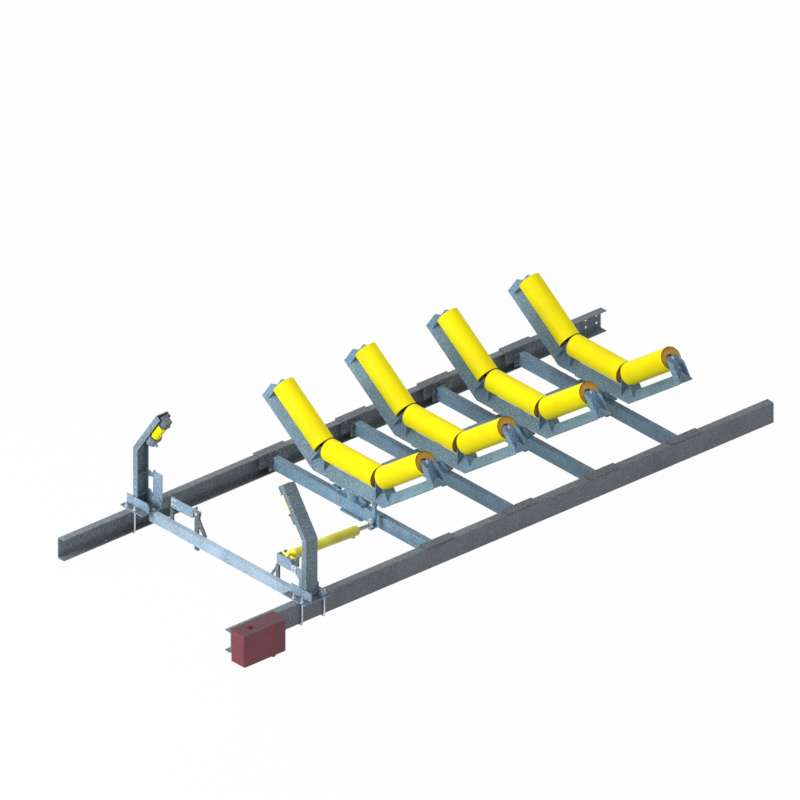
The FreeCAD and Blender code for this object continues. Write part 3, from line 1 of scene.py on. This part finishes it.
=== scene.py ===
# %% [markdown]
# The part is a self-aligning troughing idler set: two channel stringers, four crossbeams, and on each
# crossbeam a swinging frame of three rollers. Its solids come packed as a fixed frame. This script
# dresses them with paint, steel and rubber, adds the small work that a fabricator leaves on such a
# piece, and lights it.

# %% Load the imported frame
import json
import math

import bmesh
import bpy
from mathutils import Matrix, Vector


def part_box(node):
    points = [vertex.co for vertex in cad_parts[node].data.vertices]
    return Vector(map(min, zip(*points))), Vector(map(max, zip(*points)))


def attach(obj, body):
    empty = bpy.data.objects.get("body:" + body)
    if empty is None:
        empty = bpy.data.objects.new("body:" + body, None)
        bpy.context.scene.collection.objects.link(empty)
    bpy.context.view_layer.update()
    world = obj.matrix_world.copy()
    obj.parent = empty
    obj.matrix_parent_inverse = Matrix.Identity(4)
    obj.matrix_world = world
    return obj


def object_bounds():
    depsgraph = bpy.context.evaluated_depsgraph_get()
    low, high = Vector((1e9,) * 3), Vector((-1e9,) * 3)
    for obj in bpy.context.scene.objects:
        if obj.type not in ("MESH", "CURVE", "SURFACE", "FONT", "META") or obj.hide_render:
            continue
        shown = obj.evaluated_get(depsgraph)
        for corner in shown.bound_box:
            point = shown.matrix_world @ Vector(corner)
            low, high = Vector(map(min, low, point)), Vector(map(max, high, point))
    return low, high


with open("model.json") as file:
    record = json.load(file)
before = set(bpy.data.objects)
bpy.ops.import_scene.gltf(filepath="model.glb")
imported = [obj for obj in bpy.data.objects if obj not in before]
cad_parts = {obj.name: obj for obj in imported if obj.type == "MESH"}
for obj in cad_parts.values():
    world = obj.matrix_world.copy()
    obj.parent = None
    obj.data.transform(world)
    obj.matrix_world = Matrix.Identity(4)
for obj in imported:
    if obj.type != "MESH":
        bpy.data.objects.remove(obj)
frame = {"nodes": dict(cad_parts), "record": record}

cad_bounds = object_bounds()
nodes = frame["nodes"]
IDLERS = 4
TROUGH = math.radians(35)

# %% [markdown]
# Shader graphs read badly as lists of nodes and links, so the maths is written as ordinary Python.
# A Wire stands for one output socket. Adding or multiplying wires adds the Math nodes that do it, and
# any other node comes from one method, which takes its type, its settings and its sockets' values.

# %% A wrapper for shader sockets
class Wire:
    """One output socket, with arithmetic that adds Math nodes."""

    def __init__(self, tree, socket):
        self.tree = tree
        self.socket = socket

    def math(self, operation, first, second=None, clamp=False):
        inputs = {0: first} if second is None else {0: first, 1: second}
        return self.tree.node("ShaderNodeMath", {"operation": operation, "use_clamp": clamp}, inputs)

    def __add__(self, other):
        return self.math("ADD", self, other)

    __radd__ = __add__

    def __sub__(self, other):
        return self.math("SUBTRACT", self, other)

    def __rsub__(self, other):
        return self.math("SUBTRACT", other, self)

    def __mul__(self, other):
        return self.math("MULTIPLY", self, other)

    __rmul__ = __mul__

    def __abs__(self):
        return self.math("ABSOLUTE", self)

    def sine(self):
        return self.math("SINE", self)

    def above(self, edge, soft):
        """Rises from 0 to 1 as the value goes from edge to edge plus soft."""
        return self.tree.node("ShaderNodeMapRange", {"interpolation_type": "SMOOTHSTEP"},
                              {"Value": self, "From Min": edge, "From Max": edge + soft})

    def clamped(self):
        return self.math("ADD", self, 0.0, clamp=True)


class Tree:
    """A material's node tree, with one method that adds nodes."""

    def __init__(self, name):
        self.material = bpy.data.materials.new(name)
        self.material.use_nodes = True
        self.nodes = self.material.node_tree.nodes
        self.links = self.material.node_tree.links
        self.shader = self.nodes["Principled BSDF"]

    def node(self, kind, settings=None, sockets=None, output=0):
        made = self.nodes.new(kind)
        for name, value in (settings or {}).items():
            setattr(made, name, value)
        for key, value in (sockets or {}).items():
            self.put(made.inputs[key], value)
        return Wire(self, made.outputs[output])

    def put(self, socket, value):
        if isinstance(value, Wire):
            self.links.new(value.socket, socket)
        else:
            socket.default_value = value

    def place(self):
        """Where a point lies in the piece's own space, which stays with it in every pose."""
        return self.node("ShaderNodeTexCoord", output=3)

    def along(self, axis, centre=(0, 0, 0)):
        """How far a point lies from a centre, measured along an axis."""
        offset = self.node("ShaderNodeVectorMath", {"operation": "SUBTRACT"}, {0: self.place(), 1: centre})
        return self.node("ShaderNodeVectorMath", {"operation": "DOT_PRODUCT"}, {0: offset, 1: axis}, output=1)

    def noise(self, scale, detail=3.0, roughness=0.5, stretch=(1, 1, 1)):
        """Noise from 0 to 1 in the piece's own space, drawn out along its axes by stretch."""
        point = self.node("ShaderNodeVectorMath", {"operation": "MULTIPLY"}, {0: self.place(), 1: stretch})
        return self.node("ShaderNodeTexNoise", {}, {"Vector": point, "Scale": scale, "Detail": detail,
                                                    "Roughness": roughness})

    def mix(self, share, first, second):
        """A colour between two others."""
        made = self.nodes.new("ShaderNodeMix")
        made.data_type = "RGBA"
        self.put(made.inputs[0], share)
        self.put(made.inputs[6], first)
        self.put(made.inputs[7], second)
        return Wire(self, made.outputs[2])

    def upward(self):
        """1 on faces that look up, 0 on walls and undersides."""
        normal = self.node("ShaderNodeNewGeometry", output=1)
        lift = self.node("ShaderNodeVectorMath", {"operation": "DOT_PRODUCT"}, {0: normal, 1: (0, 0, 1)},
                         output=1)
        return lift.above(0.35, 0.5)

    def end_on(self, axis):
        """1 on faces that are square to an axis of the piece, 0 on faces that run along it."""
        normal = self.node("ShaderNodeTexCoord", output=1)
        turn = self.node("ShaderNodeVectorMath", {"operation": "DOT_PRODUCT"}, {0: normal, 1: axis}, output=1)
        return abs(turn).above(0.6, 0.2)

    def bump(self, height, strength, distance):
        return self.node("ShaderNodeBump", {}, {"Height": height, "Strength": strength, "Distance": distance})

    def surface(self, colour, roughness, normal=None, metallic=0.0):
        """Feeds the shader and returns the finished material."""
        self.put(self.shader.inputs["Base Color"], colour)
        self.put(self.shader.inputs["Roughness"], roughness)
        self.put(self.shader.inputs["Metallic"], metallic)
        if normal is not None:
            self.put(self.shader.inputs["Normal"], normal)
        return self.material


def rgb(red, green, blue):
    """A colour as seen on a screen, from 0 to 255, turned into Blender's linear numbers."""
    def linear(value):
        share = value / 255
        return share / 12.92 if share <= 0.04045 else ((share + 0.055) / 1.055) ** 2.4
    return (linear(red), linear(green), linear(blue), 1.0)


print("the shader wrapper is ready")

# %% [markdown]
# Most of the set is sprayed steel. Shop paint on rolled channel isn't one even colour: it is a little
# thicker here and thinner there, and fine grit settles in it while it is wet. The faces that look up take a
# second colour, partly dust and partly painted light and shade, so the tops come out lighter on some
# pieces and darker on others. Pale and dark flecks, a centimetre or so across, give the speckle that
# rolled steel keeps under thin paint. Chips down to grey primer are few on a new set, so they are kept
# small and rare.

# %% Painted steel
dark_fleck = rgb(44, 52, 58)
primer = rgb(150, 152, 150)


def painted_steel(name, colour, dust_and_top_shading, gloss=0.42, dust_and_shading_share=0.35, chips=0.30, flecks=0.5,
                  fleck_colour=rgb(196, 206, 212), shaded_ends=None):
    """Sprayed paint and flecks, with shop dirt and painted top light and shade on the faces that look up.
    Past a given distance across the set, a second colour follows as painted shade.
    """
    tree = Tree(name)
    thickness = tree.noise(3.2, 4.0, 0.55)
    grain = tree.noise(38.0, 3.0, 0.6)
    streak = tree.noise(9.0, 4.0, 0.6, stretch=(1.0, 1.0, 0.18))
    tone = (thickness * 0.5 + streak * 0.3 + grain * 0.2).above(0.34, 0.32)
    darker = tuple(channel * 0.74 for channel in colour[:3]) + (1.0,)
    lighter = tuple(min(channel * 1.22, 1.0) for channel in colour[:3]) + (1.0,)
    base = tree.mix(tone, darker, lighter)
    # Past that distance the piece is painted stringer grey as shade, where the crossbeam ends sit inside the
    # stringers.
    if shaded_ends:
        distance, paint = shaded_ends
        base = tree.mix(abs(tree.along((0, 1, 0))).above(distance, 0.002), base, paint)
    # Faces that look up mix toward the second colour: partly dust, partly painted top light and shade.
    dust_and_shading = (tree.upward() * dust_and_shading_share * (0.55 + grain * 0.9)).clamped()
    base = tree.mix(dust_and_shading, base, dust_and_top_shading)
    fleck = tree.noise(95.0, 3.0, 0.75)
    base = tree.mix(fleck.above(0.50, 0.16) * flecks, base, fleck_colour)
    base = tree.mix((1.0 - fleck.above(0.34, 0.14)) * flecks, base, dark_fleck)
    chip = tree.noise(26.0, 5.0, 0.72).above(0.70, 0.02) * chips
    base = tree.mix(chip, base, primer)
    roughness = gloss + grain * 0.16 + dust_and_shading * 0.35 - chip * 0.1
    grit = tree.noise(420.0, 2.0, 0.6)
    height = grit * 0.5 + thickness * 0.8 - chip * 1.4
    return tree.surface(base, roughness, tree.bump(height, 0.22, 0.0012))


blue_grey = rgb(112, 148, 174)
shop_grey = rgb(104, 113, 121)
# The tops of the blue-grey parts take a darker grey: some dust, and painted shade on the tops.
top_dust_and_shading = rgb(112, 126, 136)
# Beyond this distance the crossbeams are painted stringer grey as shade, where their ends sit inside the
# stringers.
END_SHADE_Y = 0.787
# Each finish's second colour is dust plus painted top light and shade: paler tops on the tie bar, brackets
# and pump, darker tops on the arm bases, the tank and the blue-grey parts.
finishes = {
    "stringer_paint": painted_steel("stringer_grey_paint", shop_grey, rgb(104, 112, 117), dust_and_shading_share=0.45,
                                    flecks=0.36),
    "frame_paint": painted_steel("frame_blue_grey_paint", blue_grey, top_dust_and_shading),
    "crossbeam_paint": painted_steel("crossbeam_paint", blue_grey, top_dust_and_shading, shaded_ends=(END_SHADE_Y, shop_grey)),
    # Besides the dark brackets, this finish paints shade on the saddle bolts and washers.
    "dark_paint": painted_steel("dark_bracket_paint_and_bolt_shade", rgb(84, 92, 99), rgb(98, 106, 112)),
    "base_paint": painted_steel("arm_base_paint", rgb(134, 162, 184), rgb(84, 94, 101), dust_and_shading_share=0.95),
    "bracket_paint": painted_steel("bracket_blue_grey_paint", rgb(136, 162, 186), rgb(150, 168, 184),
                                   dust_and_shading_share=0.3),
    "arm_paint": painted_steel("arm_grey_blue_paint", rgb(106, 126, 139), rgb(112, 126, 136)),
    "tie_paint": painted_steel("pale_tie_bar_paint", rgb(164, 188, 208), rgb(178, 194, 208), dust_and_shading_share=0.3),
    "tank_paint": painted_steel("tank_red_paint", rgb(122, 42, 56), rgb(74, 54, 60), gloss=0.36,
                                dust_and_shading_share=0.8, flecks=0.4, fleck_colour=rgb(150, 92, 100)),
    "cylinder_paint": painted_steel("cylinder_yellow_paint", rgb(246, 230, 74), rgb(230, 216, 92),
                                    gloss=0.38, dust_and_shading_share=0.2, chips=0.15, flecks=0.1),
    "pump_iron": painted_steel("pump_casting_paint", rgb(110, 124, 136), rgb(140, 150, 158), gloss=0.5),
}
print("painted finishes:", ", ".join(finishes))

# %% [markdown]
# The shafts, bearings and the piston rod are bare steel, ground or turned, so they carry fine lines
# round their length and a little oil. The bolts are zinc plated: paler, cloudy, and duller where the
# plating has gone chalky.

# %% Bare and plated steel
def bare_steel():
    tree = Tree("ground_steel")
    cloud = tree.noise(22.0, 3.0, 0.6)
    lines = tree.noise(60.0, 2.0, 0.5, stretch=(12.0, 1.0, 12.0))
    oil = tree.noise(7.0, 3.0, 0.6).above(0.52, 0.2)
    base = tree.mix(cloud, rgb(150, 154, 158), rgb(196, 199, 202))
    base = tree.mix(oil * 0.35, base, rgb(104, 92, 74))
    roughness = 0.26 + lines * 0.22 - oil * 0.08
    return tree.surface(base, roughness, tree.bump(lines, 0.12, 0.0006), metallic=1.0)


def zinc_plate():
    tree = Tree("zinc_plate")
    cloud = tree.noise(46.0, 4.0, 0.62)
    chalk = tree.noise(15.0, 4.0, 0.6).above(0.5, 0.18)
    base = tree.mix(cloud, rgb(186, 194, 203), rgb(236, 240, 244))
    base = tree.mix(chalk * 0.5, base, rgb(214, 218, 220))
    roughness = 0.34 + chalk * 0.22 + cloud * 0.08
    metallic = 0.75 - chalk * 0.35
    return tree.surface(base, roughness, tree.bump(cloud, 0.15, 0.0005), metallic=metallic)


def seal_rubber():
    tree = Tree("seal_rubber")
    bloom = tree.noise(30.0, 4.0, 0.6)
    base = tree.mix(bloom, rgb(22, 22, 23), rgb(48, 47, 46))
    return tree.surface(base, 0.58 + bloom * 0.2, tree.bump(bloom, 0.2, 0.0008))


finishes["bright_steel"] = bare_steel()
finishes["zinc_plate"] = zinc_plate()
finishes["seal_rubber"] = seal_rubber()
print("metal and rubber finishes added")

# %% [markdown]
# The rollers are the brightest thing in the set. Their tubes are turned before they are painted, so the
# yellow lies over faint rings. The discs in their recessed ends are painted tan as shade, and the rims
# round the discs are painted brown as the deeper shade in the recess. The rings need to know how far a
# point lies along its own roller. A left roller's axis is the same for all four frames, so three finishes
# do for the twelve rollers.

# %% Roller paint, one finish for each slope
ROLLER_HALF = 0.25
SENSING_HALF = 0.0645
RIM_BAND = 0.003
FINE_RINGS = 2100.0
COARSE_RINGS = 743.0
MEET = 0.28
AXIS_HEIGHT = 0.4045


def roller_paint(name, axis, centre, half):
    tree = Tree(name)
    station = tree.along(axis, centre)
    fine = (station * FINE_RINGS).sine()
    coarse = (station * COARSE_RINGS + tree.noise(14.0) * 2.0).sine()
    rings = fine * 0.5 + coarse * 0.5
    tone = tree.noise(4.0, 3.0, 0.5)
    smear = tree.noise(13.0, 5.0, 0.62)
    base = tree.mix(tone.above(0.3, 0.4), rgb(248, 228, 0), rgb(255, 240, 0))
    base = tree.mix(smear.above(0.58, 0.2) * 0.22, base, rgb(214, 180, 6))
    # The end discs are painted tan and their rims brown: painted shade in the recessed ends.
    rim_shade = abs(station).above(half - RIM_BAND, 0.001)
    disc_shade = tree.end_on(axis) * (0.75 + smear * 0.5)
    base = tree.mix(disc_shade.clamped(), base, tree.mix(rim_shade, rgb(228, 172, 80), rgb(118, 82, 20)))
    roughness = 0.42 + smear * 0.14 + disc_shade * 0.25
    tree.shader.inputs["Specular IOR Level"].default_value = 0.14
    height = rings * 0.12 + tree.noise(260.0, 2.0, 0.5) * 0.4 + tone * 0.3
    return tree.surface(base, roughness, tree.bump(height, 0.16, 0.0009))


roller_finishes = {}
for name, side in (("left", 1), ("centre", 0), ("right", -1)):
    slope = side * TROUGH
    axis = (0.0, math.cos(slope), math.sin(slope))
    centre = (0.0, side * MEET * (1 + math.cos(TROUGH)), AXIS_HEIGHT + abs(side) * MEET * math.sin(TROUGH))
    roller_finishes[name] = roller_paint(f"roller_yellow_{name}", axis, centre, ROLLER_HALF)
for name, side in (("left_sensing", 1), ("right_sensing", -1)):
    low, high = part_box(f"{name}_roller")
    middle = (low + high) / 2
    axis = (0.0, -side * math.sin(TROUGH), math.cos(TROUGH))
    roller_finishes[name] = roller_paint(f"roller_yellow_{name}", axis, middle[:], SENSING_HALF)
print("roller finishes:", ", ".join(roller_finishes))

# %% Give every solid its finish
slot_of = {part["node"]: part["material_slot"] for part in frame["record"]["subparts"]}


def wear(piece, finish):
    """Puts one finish in all of a piece's material slots."""
    if not piece.material_slots:
        piece.data.materials.append(finish)
    for slot in piece.material_slots:
        slot.material = finish


# The saddle bolts wear the dark paint as painted shade, where they sit with the crossbeam ends inside the
# stringers.
own_finish = {"arm_bases": "base_paint", "tank_plugs": "tank_paint", "saddle_bolts": "dark_paint",
              "tie_bar": "tie_paint", "left_arm": "arm_paint", "right_arm": "arm_paint"}
own_finish.update({f"crossbeam_{number}": "crossbeam_paint" for number in range(1, IDLERS + 1)})
for node, piece in nodes.items():
    if slot_of[node] == "roller_paint":
        wear(piece, roller_finishes[node.split("_roller")[0]])
    else:
        wear(piece, finishes[own_finish.get(node, slot_of[node])])
print("dressed", len(nodes), "solids")

# %% [markdown]
# The brackets and lugs are welded on. A fillet weld is a row of overlapping ripples, about as wide as the
# plate is thick, laid in the corner between two faces. One helper lays a bead between two points, bulging
# away from the corner, and the beads of a frame are joined into one piece that rides on it.

# %% A helper that turns bmesh work into a piece
def piece_from(name, mesh, body, slot, finish=None, smooth=True):
    """Makes an object of a bmesh, smooths it and rides it on a body."""
    data = bpy.data.meshes.new(name)
    mesh.to_mesh(data)
    mesh.free()
    piece = bpy.data.objects.new(name, data)
    bpy.context.scene.collection.objects.link(piece)
    for face in data.polygons:
        face.use_smooth = smooth
    wear(piece, finish or finishes[slot])
    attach(piece, body)
    return piece


def add_bead(mesh, start, end, bulge, width):
    """A rippled half-round bead from start to end, standing out along bulge."""
    start, end, bulge = Vector(start), Vector(end), Vector(bulge).normalized()
    run = end - start
    across = run.normalized().cross(bulge)
    steps = max(int(run.length / (width * 0.45)), 3)
    rings = []
    for i in range(steps + 1):
        share = i / steps
        ripple = 1.0 + (0.16 if i % 2 else -0.08)
        ripple *= min(1.0, 0.35 + 4.0 * min(share, 1 - share))
        centre = start + run * share
        ring = []
        for k in range(6):
            angle = math.pi * k / 5
            side = across * (math.cos(angle) * width * ripple)
            out = bulge * (math.sin(angle) * width * 0.62 * ripple - width * 0.1)
            ring.append(mesh.verts.new(centre + side + out))
        rings.append(ring)
    for first, second in zip(rings, rings[1:]):
        for k in range(5):
            mesh.faces.new((first[k], first[k + 1], second[k + 1], second[k]))
    mesh.faces.new(rings[0][::-1])
    mesh.faces.new(rings[-1])


print("weld helper is ready")

# %% Places on a roller frame
FIRST_X = -0.542
PITCH = 0.725
APEX_DROP = 0.106
BEND = 0.33
FACE = 0.256
PLATE = 0.008
WING_DROP = APEX_DROP * math.cos(TROUGH) + (BEND - MEET) * math.sin(TROUGH)
MIDDLE_FOOT = 0.042
INNER_WING_FOOT = 0.034
OUTER_WING_FOOT = 0.046
TOE = 0.09 * math.cos(math.radians(45))
TABLE_HALF = 0.11
BRACKET_BEAD = 0.0042
TABLE_BEAD = 0.0045
CORNER_GAP = 0.004
frame_x = [FIRST_X + PITCH * i for i in range(IDLERS)]


def on_middle(x, side, along, aside, height):
    """A point of the level part: along the middle roller's axis, beside it and above it."""
    return Vector((x + aside, side * along, AXIS_HEIGHT + height))


def on_wing(x, side, along, aside, height):
    """The same on a wing, where along starts from the point in which the rollers' axes meet."""
    return Vector((x + aside, side * (MEET + along * math.cos(TROUGH) - height * math.sin(TROUGH)),
                   AXIS_HEIGHT + along * math.sin(TROUGH) + height * math.cos(TROUGH)))


def bracket_welds(mesh, x, side, where, along, drop, foot):
    """Beads down both faces of a bracket, where it stands astride the angle."""
    for face, outward in ((along, -1), (along + PLATE, 1)):
        for hand in (-1, 1):
            top = where(x, side, face, hand * CORNER_GAP, -drop - CORNER_GAP)
            low = where(x, side, face, hand * foot, -drop - foot)
            normal = where(x, side, face + outward, hand, 1) - where(x, side, face, 0, 0)
            add_bead(mesh, top, low, normal, BRACKET_BEAD)


for i, x in enumerate(frame_x, start=1):
    welds = bmesh.new()
    for side in (-1, 1):
        bracket_welds(welds, x, side, on_middle, FACE, APEX_DROP, MIDDLE_FOOT)
        bracket_welds(welds, x, side, on_wing, MEET - FACE - PLATE, WING_DROP, INNER_WING_FOOT)
        bracket_welds(welds, x, side, on_wing, MEET + FACE, WING_DROP, OUTER_WING_FOOT)
        table_top = AXIS_HEIGHT - APEX_DROP - TOE
        add_bead(welds, (x + side * TOE, -TABLE_HALF, table_top), (x + side * TOE, TABLE_HALF, table_top),
                 (side, 0, 0.6), TABLE_BEAD)
    piece_from(f"frame_{i}_welds", welds, f"frame_{i}", "frame_paint")
print("welds laid on", IDLERS, "frames")

# %% [markdown]
# The hooked rods are threaded above their nuts, and a washer spreads each nut's load. A thread seen from
# a few metres is a fine bright ripple, so the helper turns a zigzag round the rod. A washer is a thin ring
# with a chamfered edge, a little wider than the nut that stands on it.

# %% Threads and washers
def add_turned(mesh, place, profile, steps=20):
    """Turns a profile of (radius, height) pairs about the Z axis of a placement."""
    rings = []
    for radius, height in profile:
        ring = []
        for k in range(steps):
            angle = 2 * math.pi * k / steps
            point = Vector((radius * math.cos(angle), radius * math.sin(angle), height))
            ring.append(mesh.verts.new(place @ point))
        rings.append(ring)
    for first, second in zip(rings, rings[1:]):
        for k in range(steps):
            mesh.faces.new((first[k], first[(k + 1) % steps], second[(k + 1) % steps], second[k]))


def add_thread(mesh, place, radius, low, high, pitch):
    """A ripple of thread crests round a rod between two heights."""
    turns = int((high - low) / pitch)
    profile = [(radius * 0.98, low)]
    for i in range(turns):
        profile.append((radius * 1.045, low + pitch * (i + 0.5)))
        profile.append((radius * 0.985, low + pitch * (i + 1)))
    add_turned(mesh, place, profile)


SEAT_GAP = 0.0002


def add_washer(mesh, place, inner, outer, thickness):
    """A flat ring with a chamfered edge, lying just off the placement's XY plane."""
    edge = thickness * 0.3
    add_turned(mesh, place, [(inner, SEAT_GAP), (outer, SEAT_GAP), (outer, thickness - edge),
                             (outer - edge, thickness), (inner, thickness)])


BASE_TOP = 0.168
ARM_X = -1.685
HOOK_X = 0.098
HOOK_Y = (0.885, 0.802)
HOOK_RADIUS = 0.006
HOOK_TOP = 0.198
NUT_TOP = 0.1776
HOOK_PITCH = 0.00175
HOOK_TIP = 0.0005
HOOK_WASHER = (0.009, 0.0135, 0.0024)
hooks = bmesh.new()
for hand in (-1, 1):
    for across in HOOK_Y:
        for end in (-1, 1):
            place = Matrix.Translation((ARM_X + end * HOOK_X, hand * across, 0))
            add_thread(hooks, place, HOOK_RADIUS, NUT_TOP, HOOK_TOP - HOOK_TIP, HOOK_PITCH)
            add_washer(hooks, Matrix.Translation((0, 0, BASE_TOP)) @ place, *HOOK_WASHER)
piece_from("hook_threads", hooks, "base", "zinc_plate")

SADDLE_BOLT_Z = 0.108
SADDLE_BOLT_X = 0.04
PLATE_INSIDE = 0.796
SADDLE_OUTSIDE = 0.812
SADDLE_WASHER = (0.0105, 0.0155, 0.0026)
washers = bmesh.new()
for x in frame_x:
    for end in (-1, 1):
        for hand in (-1, 1):
            inward = Matrix.Rotation(hand * math.radians(90), 4, "X")
            outward = Matrix.Rotation(-hand * math.radians(90), 4, "X")
            spot = (x + end * SADDLE_BOLT_X, hand * PLATE_INSIDE, SADDLE_BOLT_Z)
            add_washer(washers, Matrix.Translation(spot) @ inward, *SADDLE_WASHER)
            spot = (x + end * SADDLE_BOLT_X, hand * SADDLE_OUTSIDE, SADDLE_BOLT_Z)
            add_washer(washers, Matrix.Translation(spot) @ outward, *SADDLE_WASHER)
# The saddle washers wear the dark paint too, as painted shade inside the stringers.
piece_from("saddle_washers", washers, "base", "dark_paint")

BRACKET_X = -1.656
WING_Y, WING_Z = -0.618, 0.252
SHELF_Y, SHELF_Z = 0.580, 0.240
BRACKET_WASHER = (0.0065, 0.0128, 0.0024)
WING_ASIDE, WING_RISE = (0.030, 0.056), (0.014, 0.038)
SHELF_ASIDE, SHELF_RISE = (0.014, 0.040), (0.020, 0.052)
wing_spots = [(WING_Y - aside, WING_Z + rise) for aside in WING_ASIDE for rise in WING_RISE]
shelf_spots = [(SHELF_Y - aside, SHELF_Z + rise) for aside in SHELF_ASIDE for rise in SHELF_RISE]
rings = bmesh.new()
forward = Matrix.Rotation(-math.radians(90), 4, "Y")
for y, z in wing_spots + shelf_spots:
    add_washer(rings, Matrix.Translation((BRACKET_X, y, z)) @ forward, *BRACKET_WASHER)
piece_from("bracket_washers", rings, "base", "zinc_plate")
print("threads and washers added")

# %% [markdown]
# The photo has a white ground with no horizon and almost no shadow, lit from the upper left, so that the
# faces towards the near end are light and the faces towards the right stringer are dark. A big soft lamp
# on the left, a weak one above and a pale world give that. The floor and the world show white to the
# camera by its own rays, with no more light on the set. The floor lies just under the lowest piece.

# %% Floor, world and lamps
WHITE_SHARE = 0.97
FLOOR_GAP = 0.001
FLOOR_Z = cad_bounds[0][2] - FLOOR_GAP
FLOOR_SIZE = 60
bpy.ops.mesh.primitive_plane_add(size=FLOOR_SIZE, location=(0, 0, FLOOR_Z))
floor = bpy.context.object
floor.name = "studio_floor"


def show_white(tree, share, white, output):
    """Mixes white in for the camera, in gloss and through glass, and leaves the light on the set alone."""
    ray = tree.nodes.new("ShaderNodeLightPath")
    rays = [Wire(tree, ray.outputs[kind])
            for kind in ("Is Camera Ray", "Is Glossy Ray", "Is Transmission Ray")]
    seen = (rays[0] + rays[1] + rays[2]).clamped() * share
    blend = tree.nodes.new("ShaderNodeMixShader")
    tree.links.new(seen.socket, blend.inputs[0])
    tree.links.new(tree.shader.outputs[0], blend.inputs[1])
    tree.links.new(white.outputs[0], blend.inputs[2])
    tree.links.new(blend.outputs[0], output.inputs["Surface"])


def studio_floor():
    """A pale floor that shows white to the camera but keeps a soft shadow."""
    tree = Tree("studio_floor_paint")
    cloud = tree.noise(0.6, 2.0, 0.5)
    tree.surface(tree.mix(cloud, rgb(202, 202, 202), rgb(206, 206, 206)), 0.9)
    tree.shader.inputs["Specular IOR Level"].default_value = 0.0
    lit = tree.nodes.new("ShaderNodeEmission")
    lit.inputs["Color"].default_value = (1, 1, 1, 1)
    show_white(tree, WHITE_SHARE, lit, tree.nodes["Material Output"])
    return tree.material


floor.data.materials.append(studio_floor())

world = bpy.data.worlds.new("studio_world")
bpy.context.scene.world = world
world.use_nodes = True


class WorldTree(Tree):
    """The same helper on a world's nodes."""

    def __init__(self, owner):
        self.nodes = owner.node_tree.nodes
        self.links = owner.node_tree.links
        self.shader = self.nodes["Background"]


sky = WorldTree(world)
sky.shader.inputs["Color"].default_value = (0.96, 0.97, 1.0, 1.0)
sky.shader.inputs["Strength"].default_value = 0.5
white_sky = sky.nodes.new("ShaderNodeBackground")
white_sky.inputs["Color"].default_value = (1, 1, 1, 1)
white_sky.inputs["Strength"].default_value = 1.0
show_white(sky, 1.0, white_sky, sky.nodes["World Output"])


def lamp(name, place, aim, size, power, tint=(1, 1, 1)):
    """A square soft lamp at a place, looking at a point."""
    data = bpy.data.lights.new(name, "AREA")
    data.shape = "SQUARE"
    data.size = size
    data.energy = power
    data.color = tint
    made = bpy.data.objects.new(name, data)
    bpy.context.scene.collection.objects.link(made)
    made.location = place
    made.rotation_euler = (Vector(aim) - Vector(place)).to_track_quat("-Z", "Y").to_euler()
    return made


lamp("key_lamp", (-9.0, 2.2, 4.0), (0, 0, 0.2), 4.0, 700, (0.93, 0.98, 1.0))
lamp("top_lamp", (0.5, 1.0, 8.0), (0, 0, 0), 6.0, 190)
scene = bpy.context.scene
scene.view_settings.view_transform = "Standard"
print("floor at", round(FLOOR_Z, 4), "m, two lamps")

# %% [markdown]
# The photo is drawn with no perspective: the two stringers stay parallel. So the camera is orthographic.
# Its direction came from the slopes of the stringers, crossbeams and arms, and its scale from the 159 mm
# rollers. The row's origin has to fall where the photo shows the set's middle, which fixes its aim.

# %% Camera
PHOTO_SIDE = 800
METRES_PER_PIXEL = 0.00665
ORIGIN_PIXEL_X = 415.7
ORIGIN_PIXEL_Y = 490.7
CAMERA_DISTANCE = 24
CAMERA_REACH = 60
right = Vector((0.7513, -0.6600, 0.0))
up = Vector((0.3190, 0.3631, 0.8755))
towards_camera = right.cross(up).normalized()
aim = (right * (PHOTO_SIDE / 2 - ORIGIN_PIXEL_X) - up * (PHOTO_SIDE / 2 - ORIGIN_PIXEL_Y)) * METRES_PER_PIXEL
camera_data = bpy.data.cameras.new("photo_camera")
camera_data.type = "ORTHO"
camera_data.ortho_scale = PHOTO_SIDE * METRES_PER_PIXEL
camera_data.clip_end = CAMERA_REACH
camera = bpy.data.objects.new("photo_camera", camera_data)
scene.collection.objects.link(camera)
camera.location = aim + towards_camera * CAMERA_DISTANCE
camera.rotation_euler = (-towards_camera).to_track_quat("-Z", "Y").to_euler()
scene.camera = camera
print("camera aims at", [round(value, 3) for value in aim])
